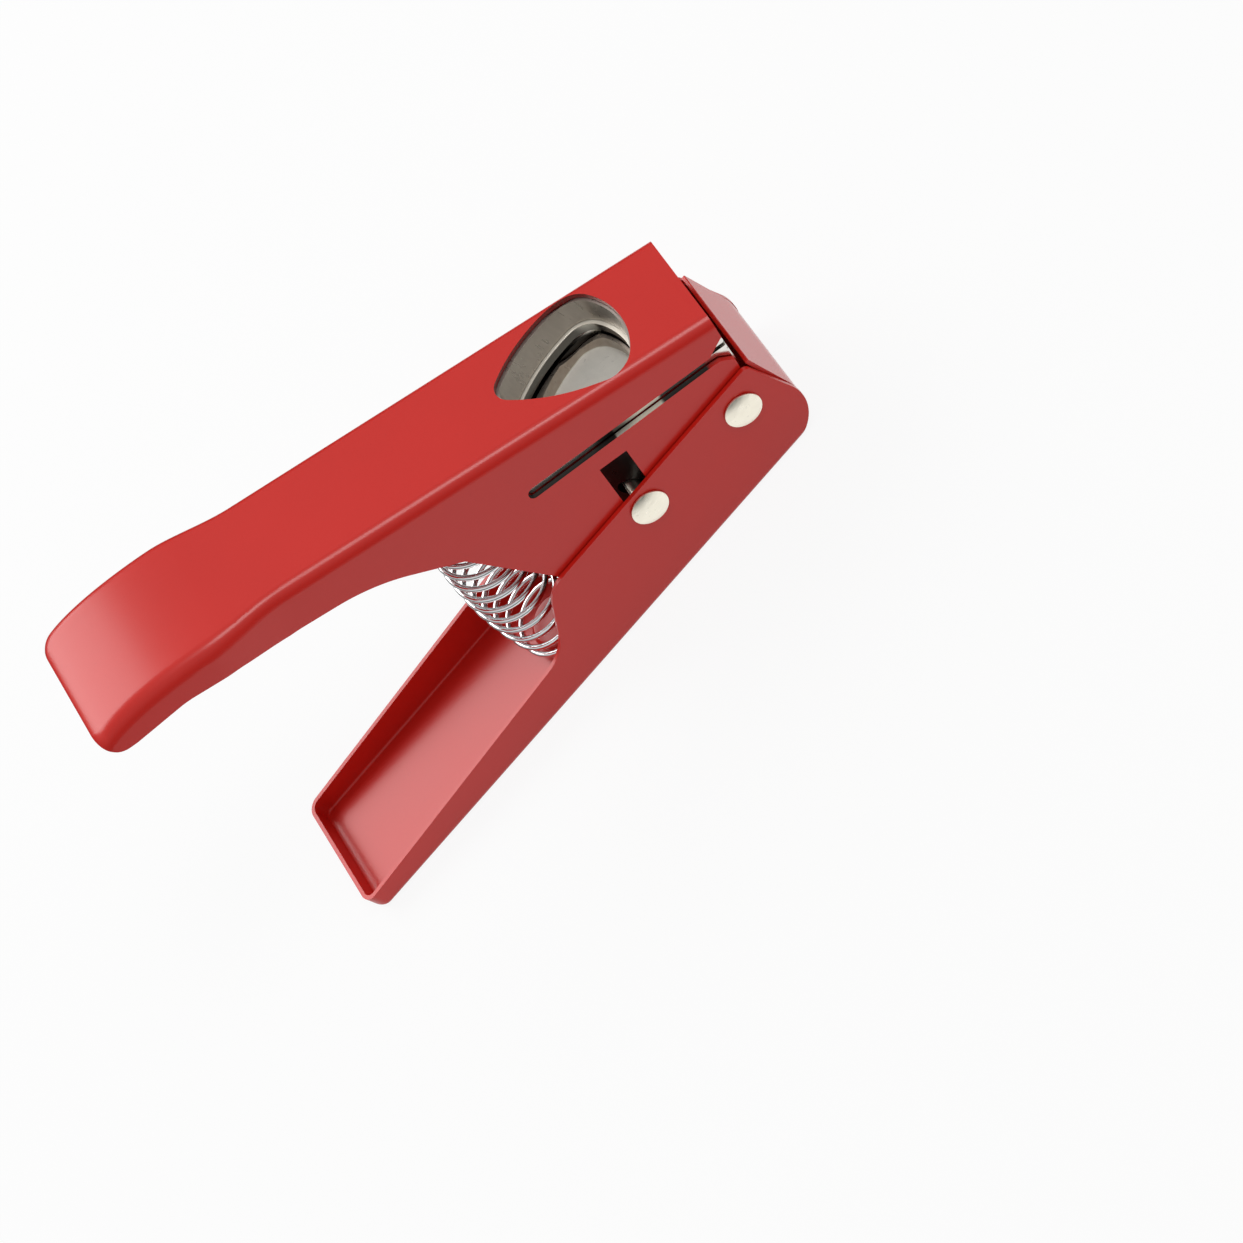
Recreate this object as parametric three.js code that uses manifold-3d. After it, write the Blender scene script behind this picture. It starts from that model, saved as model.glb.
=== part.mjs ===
// A hand-held guitar pick punch: two folded sheet levers, a die above a card slot, and a punch
// that a cross pin drives up through the card when the handles are squeezed.
// Sizes are in millimetres. The card goes in at the head on +X, the handles end on -X, Z is up,
// and the origin lies on the ground under the middle of the whole.
// "back" is a distance from the pivot towards the tail, "down" one from the top of the upper lever.
import * as THREE from "three";
import * as BufferGeometryUtils from "three/addons/utils/BufferGeometryUtils.js";
import Module from "manifold-3d";

const wasm = await Module();
wasm.setup();

// Clearances
const gap = 0.3; // between pieces that lie against each other
const seat = 0.12; // under a rivet head, and on both faces of the card stop
const runningFit = 0.09; // round a pin in its holes
const guideFit = 0.16; // round the punch in the guide and the die
const slotFit = 0.2; // above and below the drive pin in the punch
const overrun = 6; // how far a cutting shape runs past what it cuts

// Lever geometry
const openAngle = THREE.MathUtils.degToRad(24); // between the two levers at rest
const cardTilt = THREE.MathUtils.degToRad(5.5); // between the card slot and the upper lever's top
const pivotDepth = 26.6; // below the upper lever's top
const pivotHeight = 20.1; // above the ground
const driveReach = 29.2; // drive pin, back from the pivot along the ground
const driveRise = 1.9; // drive pin, above the pivot
const driveTravel = 1.1; // drive pin's way along the punch's cross slot
const pivotRadius = 2.5;
const driveRadius = 2;
const headRadius = 4.4; // both rivets
const headHeight = 1.35;
const headRim = 0.45;

// Upper lever
const sheet = 1.2;
const upperWidth = 31.2;
const upperLength = 153.7; // pivot to tail
const headOverhang = 2.7; // top sheet in front of the pivot
const headLean = 1; // lower front corner in front of the upper one
const foldRadius = 3;
const gripStart = 103.5;
const gripBlend = 20; // length over which the grip grows wider and rounder
const gripFlare = 2.7; // each side
const gripCorner = 3.7;
const noseLength = 35.7;
const noseDrop = 9.9;
const noseCorner = 3.5;
const lobeRadius = 6.5; // round the pivot
const lobeRoundShare = 0.97; // of lobeRadius, at the lobe's front
const plateDepth = 45.5; // deepest edge of the side plates

// Side plates' lower edge behind the drive pin: back as shares of upperLength, down and corner
// radius as shares of plateDepth
const skirtEdgeShares = [
  [0.317, 1, 0.11],
  [0.4385, 0.479, 0.02],
  [0.563, 0.277, 0.9],
  [0.695, 0.264, 0.3],
  [0.775, 0.2165, 0.4],
  [0.862, 0.208, 0.4],
  [0.948, 0.262, 0.2],
  [0.972, 0.268, 0.09],
  [1.01, 0.15, 0],
];

// Pick window in the top sheet: its arcs' radii are shares of its width
const pickStart = 12; // behind the pivot
const pickLength = 31.2;
const pickWidth = 27.4;
const endRadiusShare = 0.73;
const shoulderRadiusShare = 0.255;
const flankRadiusShare = 1.533;
const tipRadiusShare = 0.157;
const reliefInset = 0.6;
const dieInset = 1.3;

// Card slot in the side plates
const cardDepth = 9.2; // die's cutting face, below the top at the pivot
const cardGap = 1;
const slotLength = 49; // behind the pivot
const slotMouth = 2.5; // slot's height at the head
const slotRear = 3.1; // slot's height at its closed end
const mouthFlareUp = 3.4;
const mouthFlareDown = 4.4;
const mouthLength = 4;
const mouthRound = 1.6;

// Window in the side plates for the drive pin
const windowWidth = 7;
const windowHeight = 21;
const windowAhead = 3.1; // its front edge, in front of the drive pin at rest
const windowBelow = 4; // its lower edge, below the drive pin at rest
const windowCorner = 1;

// Die stack, all parallel to the card slot but for the block's top
const blockOverhang = 2; // in front of the pivot
const plateOverhang = 3.4; // in front of the pivot
const plateLength = 56.9;
const diePlateThickness = 2.5;
const guideThickness = 2.5;
const flangeThickness = 1.3;
const flangeDepth = 7;
const flangeInset = 2; // between the guide plate's flanges and the card stop
const plateCorner = 0.5;
const stopLength = 5;

// Die screws
const screwRadius = 1.5;
const screwSpread = 9; // from the middle plane
const screwBite = 4.5; // length in the block
const frontScrewBack = 5.4;
const countersinkRadius = 2.8;
const countersinkDepth = 1.5;
const panRadius = 2.7;
const panHeight = 1.7;
const panCrownShare = 0.8; // top of the pan head, of panRadius

// Punch
const rimDrop = 0.1; // rim below the guide's top at rest
const footLength = 5; // below the drive pin's centre
const recessStart = 0.75; // wall at the round end
const recessLength = 24.2;
const recessWidth = 23.1;
const recessDepth = 3.7; // rim to the recess floor
const scallopRadius = 10.5;
const scallopDip = 1.6;
const scallopBack = 10.2; // behind the window's round end

// Lower lever
const traySheet = 1;
const trayLength = 143.3; // pivot to tail
const flangeReach = 9.8; // front flange's face in front of the pivot
const flangeHeight = 27.4;
const bendRadius = 24; // floor up into the front flange
const bendLap = 3; // floor that the front flange's sheet shares
const edgeRound = 0.25; // on the front flange's upper edge
const seam = 0.35; // between the ears and the front flange
const earHeight = 27.7;
const earLean = 2.5; // foot of the ears' front edge in front of its top, before it is rounded
const earFoot = 12.4; // radius there
const earLength = 56.9;
const earCrown = 8.5;
const rampLength = 11.8; // from the ears' rear edge down to the tray wall
const rampFillet = 12;
const wallFront = 11.8; // tray wall at the foot of the ears
const wallRear = 5.8;
const trayFold = 1.6;
const trayCorner = 3;
const earCorner = 1.5;

// Return spring and its seats
const springBack = 69; // on the tray floor
const springTopBack = 64; // under the top sheet
const springRadius = 9.2; // outside
const wireDiameter = 1.4;
const coils = 16;
const stepsPerCoil = 8;
const wireSides = 5;
const bendShare = 0.33; // handle of the centre line's curve, of the distance between the seats
const bossHeight = 3;
const bossRound = 1.2;

// Spacer tube on the pivot pin
const sleeveRadius = 4.2;

// Steps of round stretches
const roundSides = 28;
const cornerSteps = 5;
const arcSteps = 9;
const noseSteps = 9;
const flareSteps = 4;
const roomShare = 0.49; // of a straight stretch, the most that one rounded corner takes
const leastArcShare = 0.1; // of the wire's radius: a smaller arc stays a sharp corner

const upperHalf = upperWidth / 2;
const upperInner = upperHalf - sheet;
const trayHalf = upperHalf + gap + traySheet;
const plateHalf = upperInner - gap;
const wireRadius = wireDiameter / 2;
const bossRadius = springRadius - wireRadius - wireDiameter - gap;

// The part's ends along the ground: the tray's tail and the foremost edge at the head
const topSheetReach = headOverhang * Math.cos(openAngle) + pivotDepth * Math.sin(openAngle);
const pivotX = (trayLength - Math.max(flangeReach, topSheetReach)) / 2;

const red = new THREE.MeshStandardMaterial({ color: 0xb53a30, roughness: 0.55, metalness: 0.1 });
const toolSteel = new THREE.MeshStandardMaterial({ color: 0x8f8a80, roughness: 0.35, metalness: 0.9 });
const brightSteel = new THREE.MeshStandardMaterial({ color: 0xc9cac8, roughness: 0.2, metalness: 1 });
const nickel = new THREE.MeshStandardMaterial({ color: 0xe8dfce, roughness: 0.3, metalness: 0.9 });
const zincSteel = new THREE.MeshStandardMaterial({ color: 0xb4b3ad, roughness: 0.45, metalness: 0.8 });

// Turns a closed geometry into a solid that can be joined and cut.
function solidOf(geometry) {
  const bare = geometry.clone();
  bare.deleteAttribute("normal");
  bare.deleteAttribute("uv");
  const merged = BufferGeometryUtils.mergeVertices(bare);
  const corners = merged.index.array;
  const triVerts = [];
  for (let i = 0; i < corners.length; i += 3) {
    const [a, b, c] = corners.slice(i, i + 3);
    if (a !== b && b !== c && c !== a) triVerts.push(a, b, c);
  }
  return new wasm.Manifold(
    new wasm.Mesh({
      numProp: 3,
      vertProperties: merged.attributes.position.array,
      triVerts: new Uint32Array(triVerts),
    }),
  );
}

function meshOf(name, body, material) {
  const made = body.getMesh();
  const geometry = new THREE.BufferGeometry();
  geometry.setAttribute("position", new THREE.BufferAttribute(made.vertProperties, made.numProp));
  geometry.setIndex(new THREE.BufferAttribute(made.triVerts, 1));
  geometry.computeVertexNormals();
  const mesh = new THREE.Mesh(geometry, material);
  mesh.name = name;
  return mesh;
}

// Outline through corners [x, y, radius]: each corner is rounded by an arc, as far as the
// lengths beside it leave room.
function rounded(corners) {
  const points = [];
  corners.forEach(([x, y, radius = 0], i) => {
    const corner = new THREE.Vector2(x, y);
    const [bx, by] = corners.at(i - 1);
    const [ax, ay] = corners[(i + 1) % corners.length];
    const before = new THREE.Vector2(bx, by).sub(corner);
    const after = new THREE.Vector2(ax, ay).sub(corner);
    const room = Math.min(before.length(), after.length()) * roomShare;
    before.normalize();
    after.normalize();
    const half = Math.acos(THREE.MathUtils.clamp(before.dot(after), -1, 1)) / 2;
    const reach = Math.min(radius / Math.tan(half), room);
    const arc = reach * Math.tan(half);
    if (arc < wireRadius * leastArcShare) {
      points.push(corner);
      return;
    }
    const centre = before.clone().add(after).setLength(arc / Math.sin(half)).add(corner);
    const start = before.multiplyScalar(reach).add(corner).sub(centre);
    const end = after.multiplyScalar(reach).add(corner).sub(centre);
    const turn = Math.atan2(start.cross(end), start.dot(end));
    for (let step = 0; step <= cornerSteps; step++) {
      const origin = new THREE.Vector2();
      points.push(start.clone().rotateAround(origin, (turn * step) / cornerSteps).add(centre));
    }
  });
  return points;
}

// Prism across the punch between two side planes, from corners [back, height, radius].
function sidePrism(corners, yLow, yHigh) {
  const outline = rounded(corners.map(([back, height, radius]) => [-back, height, radius]));
  const geometry = new THREE.ExtrudeGeometry(new THREE.Shape(outline), {
    depth: yHigh - yLow,
    bevelEnabled: false,
  });
  return solidOf(geometry.rotateX(Math.PI / 2).translate(0, yHigh, 0));
}

// Upright prism from an outline of Vector2 points [back, across].
function flatPrism(outline, zLow, zHigh) {
  const shape = new THREE.Shape(outline.map((p) => new THREE.Vector2(-p.x, p.y)));
  const geometry = new THREE.ExtrudeGeometry(shape, { depth: zHigh - zLow, bevelEnabled: false });
  return solidOf(geometry.translate(0, 0, zLow));
}

function rectangle(backLow, backHigh, half, corner) {
  return rounded([
    [backLow, -half, corner],
    [backHigh, -half, corner],
    [backHigh, half, corner],
    [backLow, half, corner],
  ]);
}

// Round bar across the punch, wide enough that its flats keep the stated radius.
function crossHole(radius, back, height, half) {
  const geometry = new THREE.CylinderGeometry(
    radius / Math.cos(Math.PI / roundSides),
    radius / Math.cos(Math.PI / roundSides),
    2 * half,
    roundSides,
  );
  return solidOf(geometry.translate(-back, 0, height));
}

// Turned piece from a profile [radius, along], about Y or, with upright true, about Z.
function turned(profile, upright) {
  const points = profile.map(([radius, along]) => new THREE.Vector2(radius, along));
  const geometry = new THREE.LatheGeometry(points, roundSides);
  return solidOf(upright ? geometry.rotateX(Math.PI / 2) : geometry);
}

// Solid through cross-sections that have the same number of points, each in its own plane.
function lofted(sections) {
  const count = sections[0].length;
  const positions = sections.flat().flatMap((p) => [p.x, p.y, p.z]);
  const index = [];
  for (let s = 0; s + 1 < sections.length; s++) {
    for (let i = 0; i < count; i++) {
      const a = s * count + i;
      const b = s * count + ((i + 1) % count);
      index.push(a, b, b + count, a, b + count, a + count);
    }
  }
  const last = (sections.length - 1) * count;
  for (let i = 1; i + 1 < count; i++) {
    index.push(0, i + 1, i);
    index.push(last, last + i, last + i + 1);
  }
  const geometry = new THREE.BufferGeometry();
  geometry.setAttribute("position", new THREE.Float32BufferAttribute(positions, 3));
  geometry.setIndex(index);
  return solidOf(geometry);
}

// Cross-section of a folded channel: square at its open edge, rounded at its closed one.
function channelSection(x, half, open, closed, radius) {
  const points = [new THREE.Vector3(x, half, open), new THREE.Vector3(x, -half, open)];
  const side = Math.sign(closed - open);
  for (const [hand, first] of [[-1, 0], [1, cornerSteps]]) {
    for (let step = 0; step <= cornerSteps; step++) {
      const angle = (Math.abs(first - step) / cornerSteps) * (Math.PI / 2);
      points.push(
        new THREE.Vector3(
          x,
          hand * (half - radius + radius * Math.cos(angle)),
          closed - side * (radius - radius * Math.sin(angle)),
        ),
      );
    }
  }
  return side > 0 ? points : points.reverse();
}

// The pick's outline from its round end to its tip: a large arc, two shoulders, two long flanks
// and a small tip, each tangent to the next, all drawn in by the inset.
function pickOutline(start, length, width, inset) {
  const half = width / 2;
  const end = width * endRadiusShare;
  const shoulder = width * shoulderRadiusShare;
  const flank = width * flankRadiusShare;
  const tip = width * tipRadiusShare;
  const endCentre = new THREE.Vector2(end, 0);
  const shoulderCentre = new THREE.Vector2(
    end - Math.sqrt((end - shoulder) ** 2 - (half - shoulder) ** 2),
    half - shoulder,
  );
  const tipCentre = new THREE.Vector2(length - tip, 0);
  const toTip = tipCentre.clone().sub(shoulderCentre);
  const span = toTip.length();
  const toShoulder = flank - shoulder;
  const along = (toShoulder ** 2 - (flank - tip) ** 2 + span ** 2) / (2 * span);
  const aside = Math.sqrt(toShoulder ** 2 - along ** 2);
  toTip.normalize();
  const flankCentre = shoulderCentre
    .clone()
    .addScaledVector(toTip, along)
    .add(new THREE.Vector2(toTip.y, -toTip.x).multiplyScalar(aside));
  const angleFrom = (from, to) => to.clone().sub(from).angle();
  const flankStart = angleFrom(flankCentre, shoulderCentre);
  const flankEnd = angleFrom(flankCentre, tipCentre);
  const shoulderStart = angleFrom(endCentre, shoulderCentre);
  const arcs = [
    [endCentre, end, Math.PI, shoulderStart],
    [shoulderCentre, shoulder, shoulderStart, flankStart],
    [flankCentre, flank, flankStart, flankEnd],
    [tipCentre, tip, flankEnd, 0],
  ];
  const upperSide = [];
  for (const [centre, radius, from, to] of arcs) {
    for (let step = 0; step < arcSteps; step++) {
      const angle = from + ((to - from) * step) / arcSteps;
      const arm = new THREE.Vector2(radius - inset, 0).rotateAround(new THREE.Vector2(), angle);
      upperSide.push(arm.add(centre));
    }
  }
  const lowerSide = upperSide.slice(1).reverse().map((p) => new THREE.Vector2(p.x, -p.y));
  const point = new THREE.Vector2(length - inset, 0);
  return [...upperSide, point, ...lowerSide].map((p) => new THREE.Vector2(p.x + start, p.y));
}

// Place in the card slot's frame, as back and height in the upper lever's frame.
function cardPlace(along, above) {
  return [
    along * Math.cos(cardTilt) + above * Math.sin(cardTilt),
    pivotDepth - cardDepth - along * Math.sin(cardTilt) + above * Math.cos(cardTilt),
  ];
}

// Place in the lower lever's frame, as back and height in the upper lever's frame.
function upperPlace(back, height) {
  const rise = height - pivotHeight;
  return [
    back * Math.cos(openAngle) + rise * Math.sin(openAngle),
    rise * Math.cos(openAngle) - back * Math.sin(openAngle),
  ];
}

// Place in the upper lever's frame, as back and height in the lower lever's frame.
function lowerPlace(back, height) {
  return [
    back * Math.cos(openAngle) - height * Math.sin(openAngle),
    pivotHeight + back * Math.sin(openAngle) + height * Math.cos(openAngle),
  ];
}

// The drive pin at rest, in the card slot's frame
const [driveUpperBack, driveUpperHeight] = upperPlace(driveReach, pivotHeight + driveRise);
const driveFromCard = driveUpperHeight - (pivotDepth - cardDepth);
const driveAlong = driveUpperBack * Math.cos(cardTilt) - driveFromCard * Math.sin(cardTilt);
const driveAbove = driveUpperBack * Math.sin(cardTilt) + driveFromCard * Math.cos(cardTilt);

const guideTop = -cardGap;
const guideBottom = guideTop - guideThickness;
const blockBottom = diePlateThickness + gap;
const plateRear = plateLength - plateOverhang;
const rearScrewBack = plateRear - stopLength / 2;

// Outer or inner skin of the upper lever, drawn in by the inset.
function upperSkin(inset) {
  const head = headOverhang + headLean + (inset ? overrun : 0);
  const noseStart = upperLength - noseLength;
  const stations = [[-head, 0]];
  for (let step = 0; step <= flareSteps; step++) {
    stations.push([gripStart + (step / (flareSteps + 1)) * (noseStart - gripStart), 0]);
  }
  for (let step = 0; step <= noseSteps; step++) {
    const angle = (step / noseSteps) * (Math.PI / 2);
    stations.push([
      noseStart + (noseLength - inset) * Math.sin(angle),
      noseDrop * (1 - Math.cos(angle)),
    ]);
  }
  const cornerStart = upperLength - noseCorner;
  const sections = stations.map(([back, drop]) => {
    const blend = THREE.MathUtils.smoothstep(back, gripStart, gripStart + gripBlend);
    const radius = foldRadius + (gripCorner - foldRadius) * blend - inset;
    const innerCorner = noseCorner - inset;
    const past = THREE.MathUtils.clamp(back - cornerStart, 0, innerCorner);
    const drawnIn = innerCorner - Math.sqrt(innerCorner ** 2 - past ** 2);
    const half = upperHalf + gripFlare * blend - inset - drawnIn;
    return channelSection(-back, half, -plateDepth, pivotDepth - drop - inset, radius);
  });
  return lofted(sections);
}

function upperHousing() {
  const height = (down) => pivotDepth - down;
  const lobe = pivotDepth + lobeRadius;
  const windowFoot = driveUpperBack - windowWidth;
  const outline = [
    [-headOverhang, height(-overrun), 0],
    [-headOverhang, height(0), 0],
    [-headOverhang - headLean, height(cardDepth + lobeRadius), 0],
    [-lobeRadius, height(lobe), lobeRadius * lobeRoundShare],
    [windowFoot - lobeRadius, height(lobe), lobeRadius / 2],
    [windowFoot, height(plateDepth), lobeRadius / 2],
    ...skirtEdgeShares.map(([back, down, radius]) => [
      back * upperLength,
      height(down * plateDepth),
      radius * plateDepth,
    ]),
    [upperLength + overrun, height(-overrun), 0],
  ];
  const slotStart = cardPlace(mouthLength - headOverhang, 0);
  const slotEnd = cardPlace(slotLength, 0);
  const mouthFront = -headOverhang - headLean - overrun;
  const slot = [
    [mouthFront, slotStart[1] + mouthFlareUp * 2],
    [-headOverhang, slotStart[1] + mouthFlareUp, mouthRound],
    [slotStart[0], slotStart[1], mouthRound],
    [slotEnd[0], slotEnd[1], slotRear / 2],
    [slotEnd[0], slotEnd[1] - slotRear, slotRear / 2],
    [slotStart[0], slotStart[1] - slotMouth, mouthRound],
    [slotStart[0] - mouthLength / 2, slotStart[1] - slotMouth, mouthRound],
    [-headOverhang - headLean, slotStart[1] - mouthFlareDown, mouthRound],
    [mouthFront, slotStart[1] - mouthFlareDown * 2],
  ];
  const windowLow = driveAbove - windowBelow;
  const windowFront = driveAlong - windowAhead;
  const driveWindow = [
    [...cardPlace(windowFront, windowLow), windowCorner],
    [...cardPlace(windowFront + windowWidth, windowLow), windowCorner],
    [...cardPlace(windowFront + windowWidth, windowLow + windowHeight), 0],
    [...cardPlace(windowFront, windowLow + windowHeight), 0],
  ];
  const wide = upperHalf + gripFlare + overrun;
  const window = pickOutline(pickStart, pickLength, pickWidth, 0);
  return upperSkin(0)
    .subtract(upperSkin(sheet))
    .intersect(sidePrism(outline, -wide, wide))
    .subtract(flatPrism(window, height(overrun), height(-overrun)))
    .subtract(sidePrism(slot, -wide, wide))
    .subtract(sidePrism(driveWindow, -wide, wide))
    .subtract(crossHole(pivotRadius + runningFit, 0, 0, wide));
}

// The block fills the upper lever's fold from side to side.
function dieBlock() {
  const front = cardPlace(-blockOverhang, blockBottom);
  const rear = cardPlace(plateRear, blockBottom);
  const outline = [
    [front[0], pivotDepth],
    [rear[0], pivotDepth],
    [rear[0], rear[1]],
    [front[0], front[1]],
  ];
  const relief = pickOutline(pickStart, pickLength, pickWidth, reliefInset);
  return sidePrism(outline, -upperHalf, upperHalf)
    .intersect(upperSkin(sheet + gap))
    .subtract(flatPrism(relief, -plateDepth, pivotDepth));
}

// Countersink and shank of a front screw, or the hole for it when it is grown by a clearance.
function frontScrew(clearance) {
  const low = clearance ? -overrun : seat;
  return turned(
    [
      [0, low],
      [countersinkRadius + clearance, low],
      [countersinkRadius + clearance, seat],
      [screwRadius + clearance, seat + countersinkDepth],
      [screwRadius + clearance, blockBottom + screwBite + clearance],
      [0, blockBottom + screwBite + clearance],
    ].filter((point, i, all) => !i || point.some((value, k) => value !== all[i - 1][k])),
    true,
  );
}

// Pan head and shank of a rear screw, or the hole for its shank.
function rearScrew(clearance) {
  const top = blockBottom + screwBite + clearance;
  const shank = screwRadius + clearance;
  const under = guideBottom - seat;
  const head = [
    [0, under - panHeight],
    [panRadius * panCrownShare, under - panHeight],
    [panRadius, under - panHeight / 2],
    [panRadius, under],
    [shank, under],
  ];
  const hole = [
    [0, under - overrun],
    [shank, under - overrun],
  ];
  return turned([...(clearance ? hole : head), [shank, top], [0, top]], true);
}

const screwPlaces = [
  ["front_die_screw_left", frontScrewBack, -screwSpread, frontScrew],
  ["front_die_screw_right", frontScrewBack, screwSpread, frontScrew],
  ["rear_die_screw_left", rearScrewBack, -screwSpread, rearScrew],
  ["rear_die_screw_right", rearScrewBack, screwSpread, rearScrew],
];

// Cuts the screws' clearance holes in a piece that lies in the card slot's frame.
function drilled(body, places) {
  return places.reduce(
    (rest, [, back, across, screw]) => rest.subtract(screw(guideFit).translate(-back, across, 0)),
    body,
  );
}

function diePlate() {
  const plan = rectangle(-plateOverhang, plateRear, plateHalf, plateCorner);
  const hole = pickOutline(pickStart, pickLength, pickWidth, dieInset);
  const body = flatPrism(plan, 0, diePlateThickness);
  return drilled(body.subtract(flatPrism(hole, -overrun, overrun)), screwPlaces);
}

function guidePlate() {
  const plan = rectangle(-plateOverhang, plateRear, plateHalf, plateCorner);
  const hole = pickOutline(pickStart, pickLength, pickWidth, dieInset);
  const rear = plateRear - flangeInset - stopLength;
  const cheeks = rectangle(-plateOverhang, rear, plateHalf, 0);
  const inner = plateHalf - flangeThickness;
  const between = rectangle(-plateOverhang - overrun, rear + overrun, inner, 0);
  const flangeFoot = guideTop - flangeDepth;
  const flanges = flatPrism(cheeks, flangeFoot, guideTop - guideThickness / 2).subtract(
    flatPrism(between, flangeFoot - overrun, guideTop),
  );
  const body = flatPrism(plan, guideBottom, guideTop)
    .subtract(flatPrism(hole, guideBottom - overrun, guideTop + overrun))
    .add(flanges);
  return drilled(body, screwPlaces.slice(2));
}

function cardStop() {
  const plan = rectangle(plateRear - stopLength, plateRear, plateHalf, 0);
  return drilled(flatPrism(plan, guideTop + seat, -seat), screwPlaces.slice(2));
}

function punch() {
  const rim = guideTop - rimDrop;
  const inset = dieInset + guideFit;
  const outline = pickOutline(pickStart, pickLength, pickWidth, inset);
  const recessFront = pickStart + inset + recessStart;
  const recess = pickOutline(recessFront, recessLength, recessWidth, 0);
  const half = pickWidth / 2 + overrun;
  const scallop = crossHole(
    scallopRadius,
    pickStart + scallopBack,
    rim + scallopRadius - scallopDip,
    half,
  );
  const reach = driveRadius + slotFit;
  const crossSlot = [
    [driveAlong - reach, driveAbove - reach, reach],
    [driveAlong + driveTravel + reach, driveAbove - reach, reach],
    [driveAlong + driveTravel + reach, driveAbove + reach, reach],
    [driveAlong - reach, driveAbove + reach, reach],
  ];
  return flatPrism(outline, driveAbove - footLength, rim)
    .subtract(flatPrism(recess, rim - recessDepth, rim + overrun))
    .subtract(scallop)
    .subtract(sidePrism(crossSlot, -half, half));
}

function pivotSleeve() {
  const inner = pivotRadius + runningFit * 2;
  const ring = [
    [inner, -plateHalf],
    [sleeveRadius, -plateHalf],
    [sleeveRadius, plateHalf],
    [inner, plateHalf],
    [inner, -plateHalf],
  ];
  return turned(ring, false);
}

// Rivet across both levers: a straight shank between two low domes.
function rivet(radius) {
  const under = trayHalf + seat;
  const dome = headHeight - headRim;
  const domeRadius = (headRadius ** 2 + dome ** 2) / (2 * dome);
  const rise = [[radius, under], [headRadius, under]];
  const full = Math.asin(headRadius / domeRadius);
  for (let step = 0; step <= cornerSteps; step++) {
    const angle = full * (1 - step / cornerSteps);
    rise.push([
      domeRadius * Math.sin(angle),
      under + headHeight - domeRadius * (1 - Math.cos(angle)),
    ]);
  }
  const fall = rise.slice().reverse().map(([r, y]) => [r, -y]);
  return turned([...fall, ...rise], false);
}

// Outer or inner skin of the tray, drawn in by the inset.
function traySkin(inset) {
  const stations = [[-flangeReach - (inset ? overrun : 0), 0, 0]];
  for (let step = 0; step <= cornerSteps; step++) {
    const share = Math.sin((step / cornerSteps) * (Math.PI / 2));
    const corner = trayCorner - inset;
    const fold = trayFold - inset;
    stations.push([
      trayLength - inset - corner + corner * share,
      corner * (1 - Math.sqrt(1 - share ** 2)),
      fold * (1 - Math.sqrt(1 - share ** 2)),
    ]);
  }
  const sections = stations.map(([back, drawnIn, lifted]) => {
    const half = trayHalf - inset - drawnIn;
    return channelSection(-back, half, earHeight + overrun, inset + lifted, trayFold - inset);
  });
  return lofted(sections);
}

function lowerHandle() {
  const bendStart = bendRadius - flangeReach;
  const wide = trayHalf + overrun;
  const inner = trayHalf - traySheet;
  const earFront = traySheet + seam - flangeReach;
  const ears = [
    [earLength, -overrun, 0],
    [earLength, 0, 0],
    [earFront - earLean, 0, earFoot],
    [earFront, earHeight, earCorner],
    [earLength, earHeight, earCrown],
    [earLength + rampLength, wallFront, rampFillet],
    [trayLength, wallRear, 0],
    [trayLength + overrun, wallRear, 0],
    [trayLength + overrun, -overrun, 0],
  ];
  const notch = [
    [bendStart, -overrun, 0],
    [-flangeReach - overrun, -overrun, 0],
    [-flangeReach - overrun, trayFold, 0],
    [bendStart, trayFold, 0],
  ];
  const lapEnd = bendStart + bendLap;
  const flange = [
    [lapEnd, 0, 0],
    [-flangeReach, 0, bendRadius],
    [-flangeReach, flangeHeight, edgeRound],
    [traySheet - flangeReach, flangeHeight, edgeRound],
    [traySheet - flangeReach, traySheet, bendRadius - traySheet],
    [lapEnd, traySheet, 0],
  ];
  return traySkin(0)
    .subtract(traySkin(traySheet))
    .intersect(sidePrism(ears, -wide, wide))
    .subtract(sidePrism(notch, -inner, inner))
    .add(sidePrism(flange, seam - inner, inner - seam))
    .subtract(crossHole(pivotRadius + runningFit, 0, pivotHeight, wide))
    .subtract(crossHole(driveRadius + runningFit, driveReach, pivotHeight + driveRise, wide));
}

// Low boss that the spring's last coil sits round, standing on z = 0.
function springSeat() {
  return turned(
    [
      [0, 0],
      [bossRadius, 0],
      [bossRadius, bossHeight - bossRound],
      [bossRadius - bossRound, bossHeight],
      [0, bossHeight],
    ],
    true,
  );
}

// Centre line of the spring in the lower lever's frame, from the height of its first coil to
// that of its last: square to the tray floor at its foot and to the top sheet at its head.
function springLine() {
  const [topBack, topHeight] = lowerPlace(springTopBack, pivotDepth - sheet - gap - wireRadius);
  const foot = new THREE.Vector3(-springBack, 0, traySheet + gap + wireRadius);
  const top = new THREE.Vector3(-topBack, 0, topHeight);
  const handle = foot.distanceTo(top) * bendShare;
  const lean = new THREE.Vector3(Math.sin(openAngle), 0, Math.cos(openAngle));
  return new THREE.CubicBezierCurve3(
    foot,
    foot.clone().add(new THREE.Vector3(0, 0, handle)),
    top.clone().addScaledVector(lean, -handle),
    top,
  );
}

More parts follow.
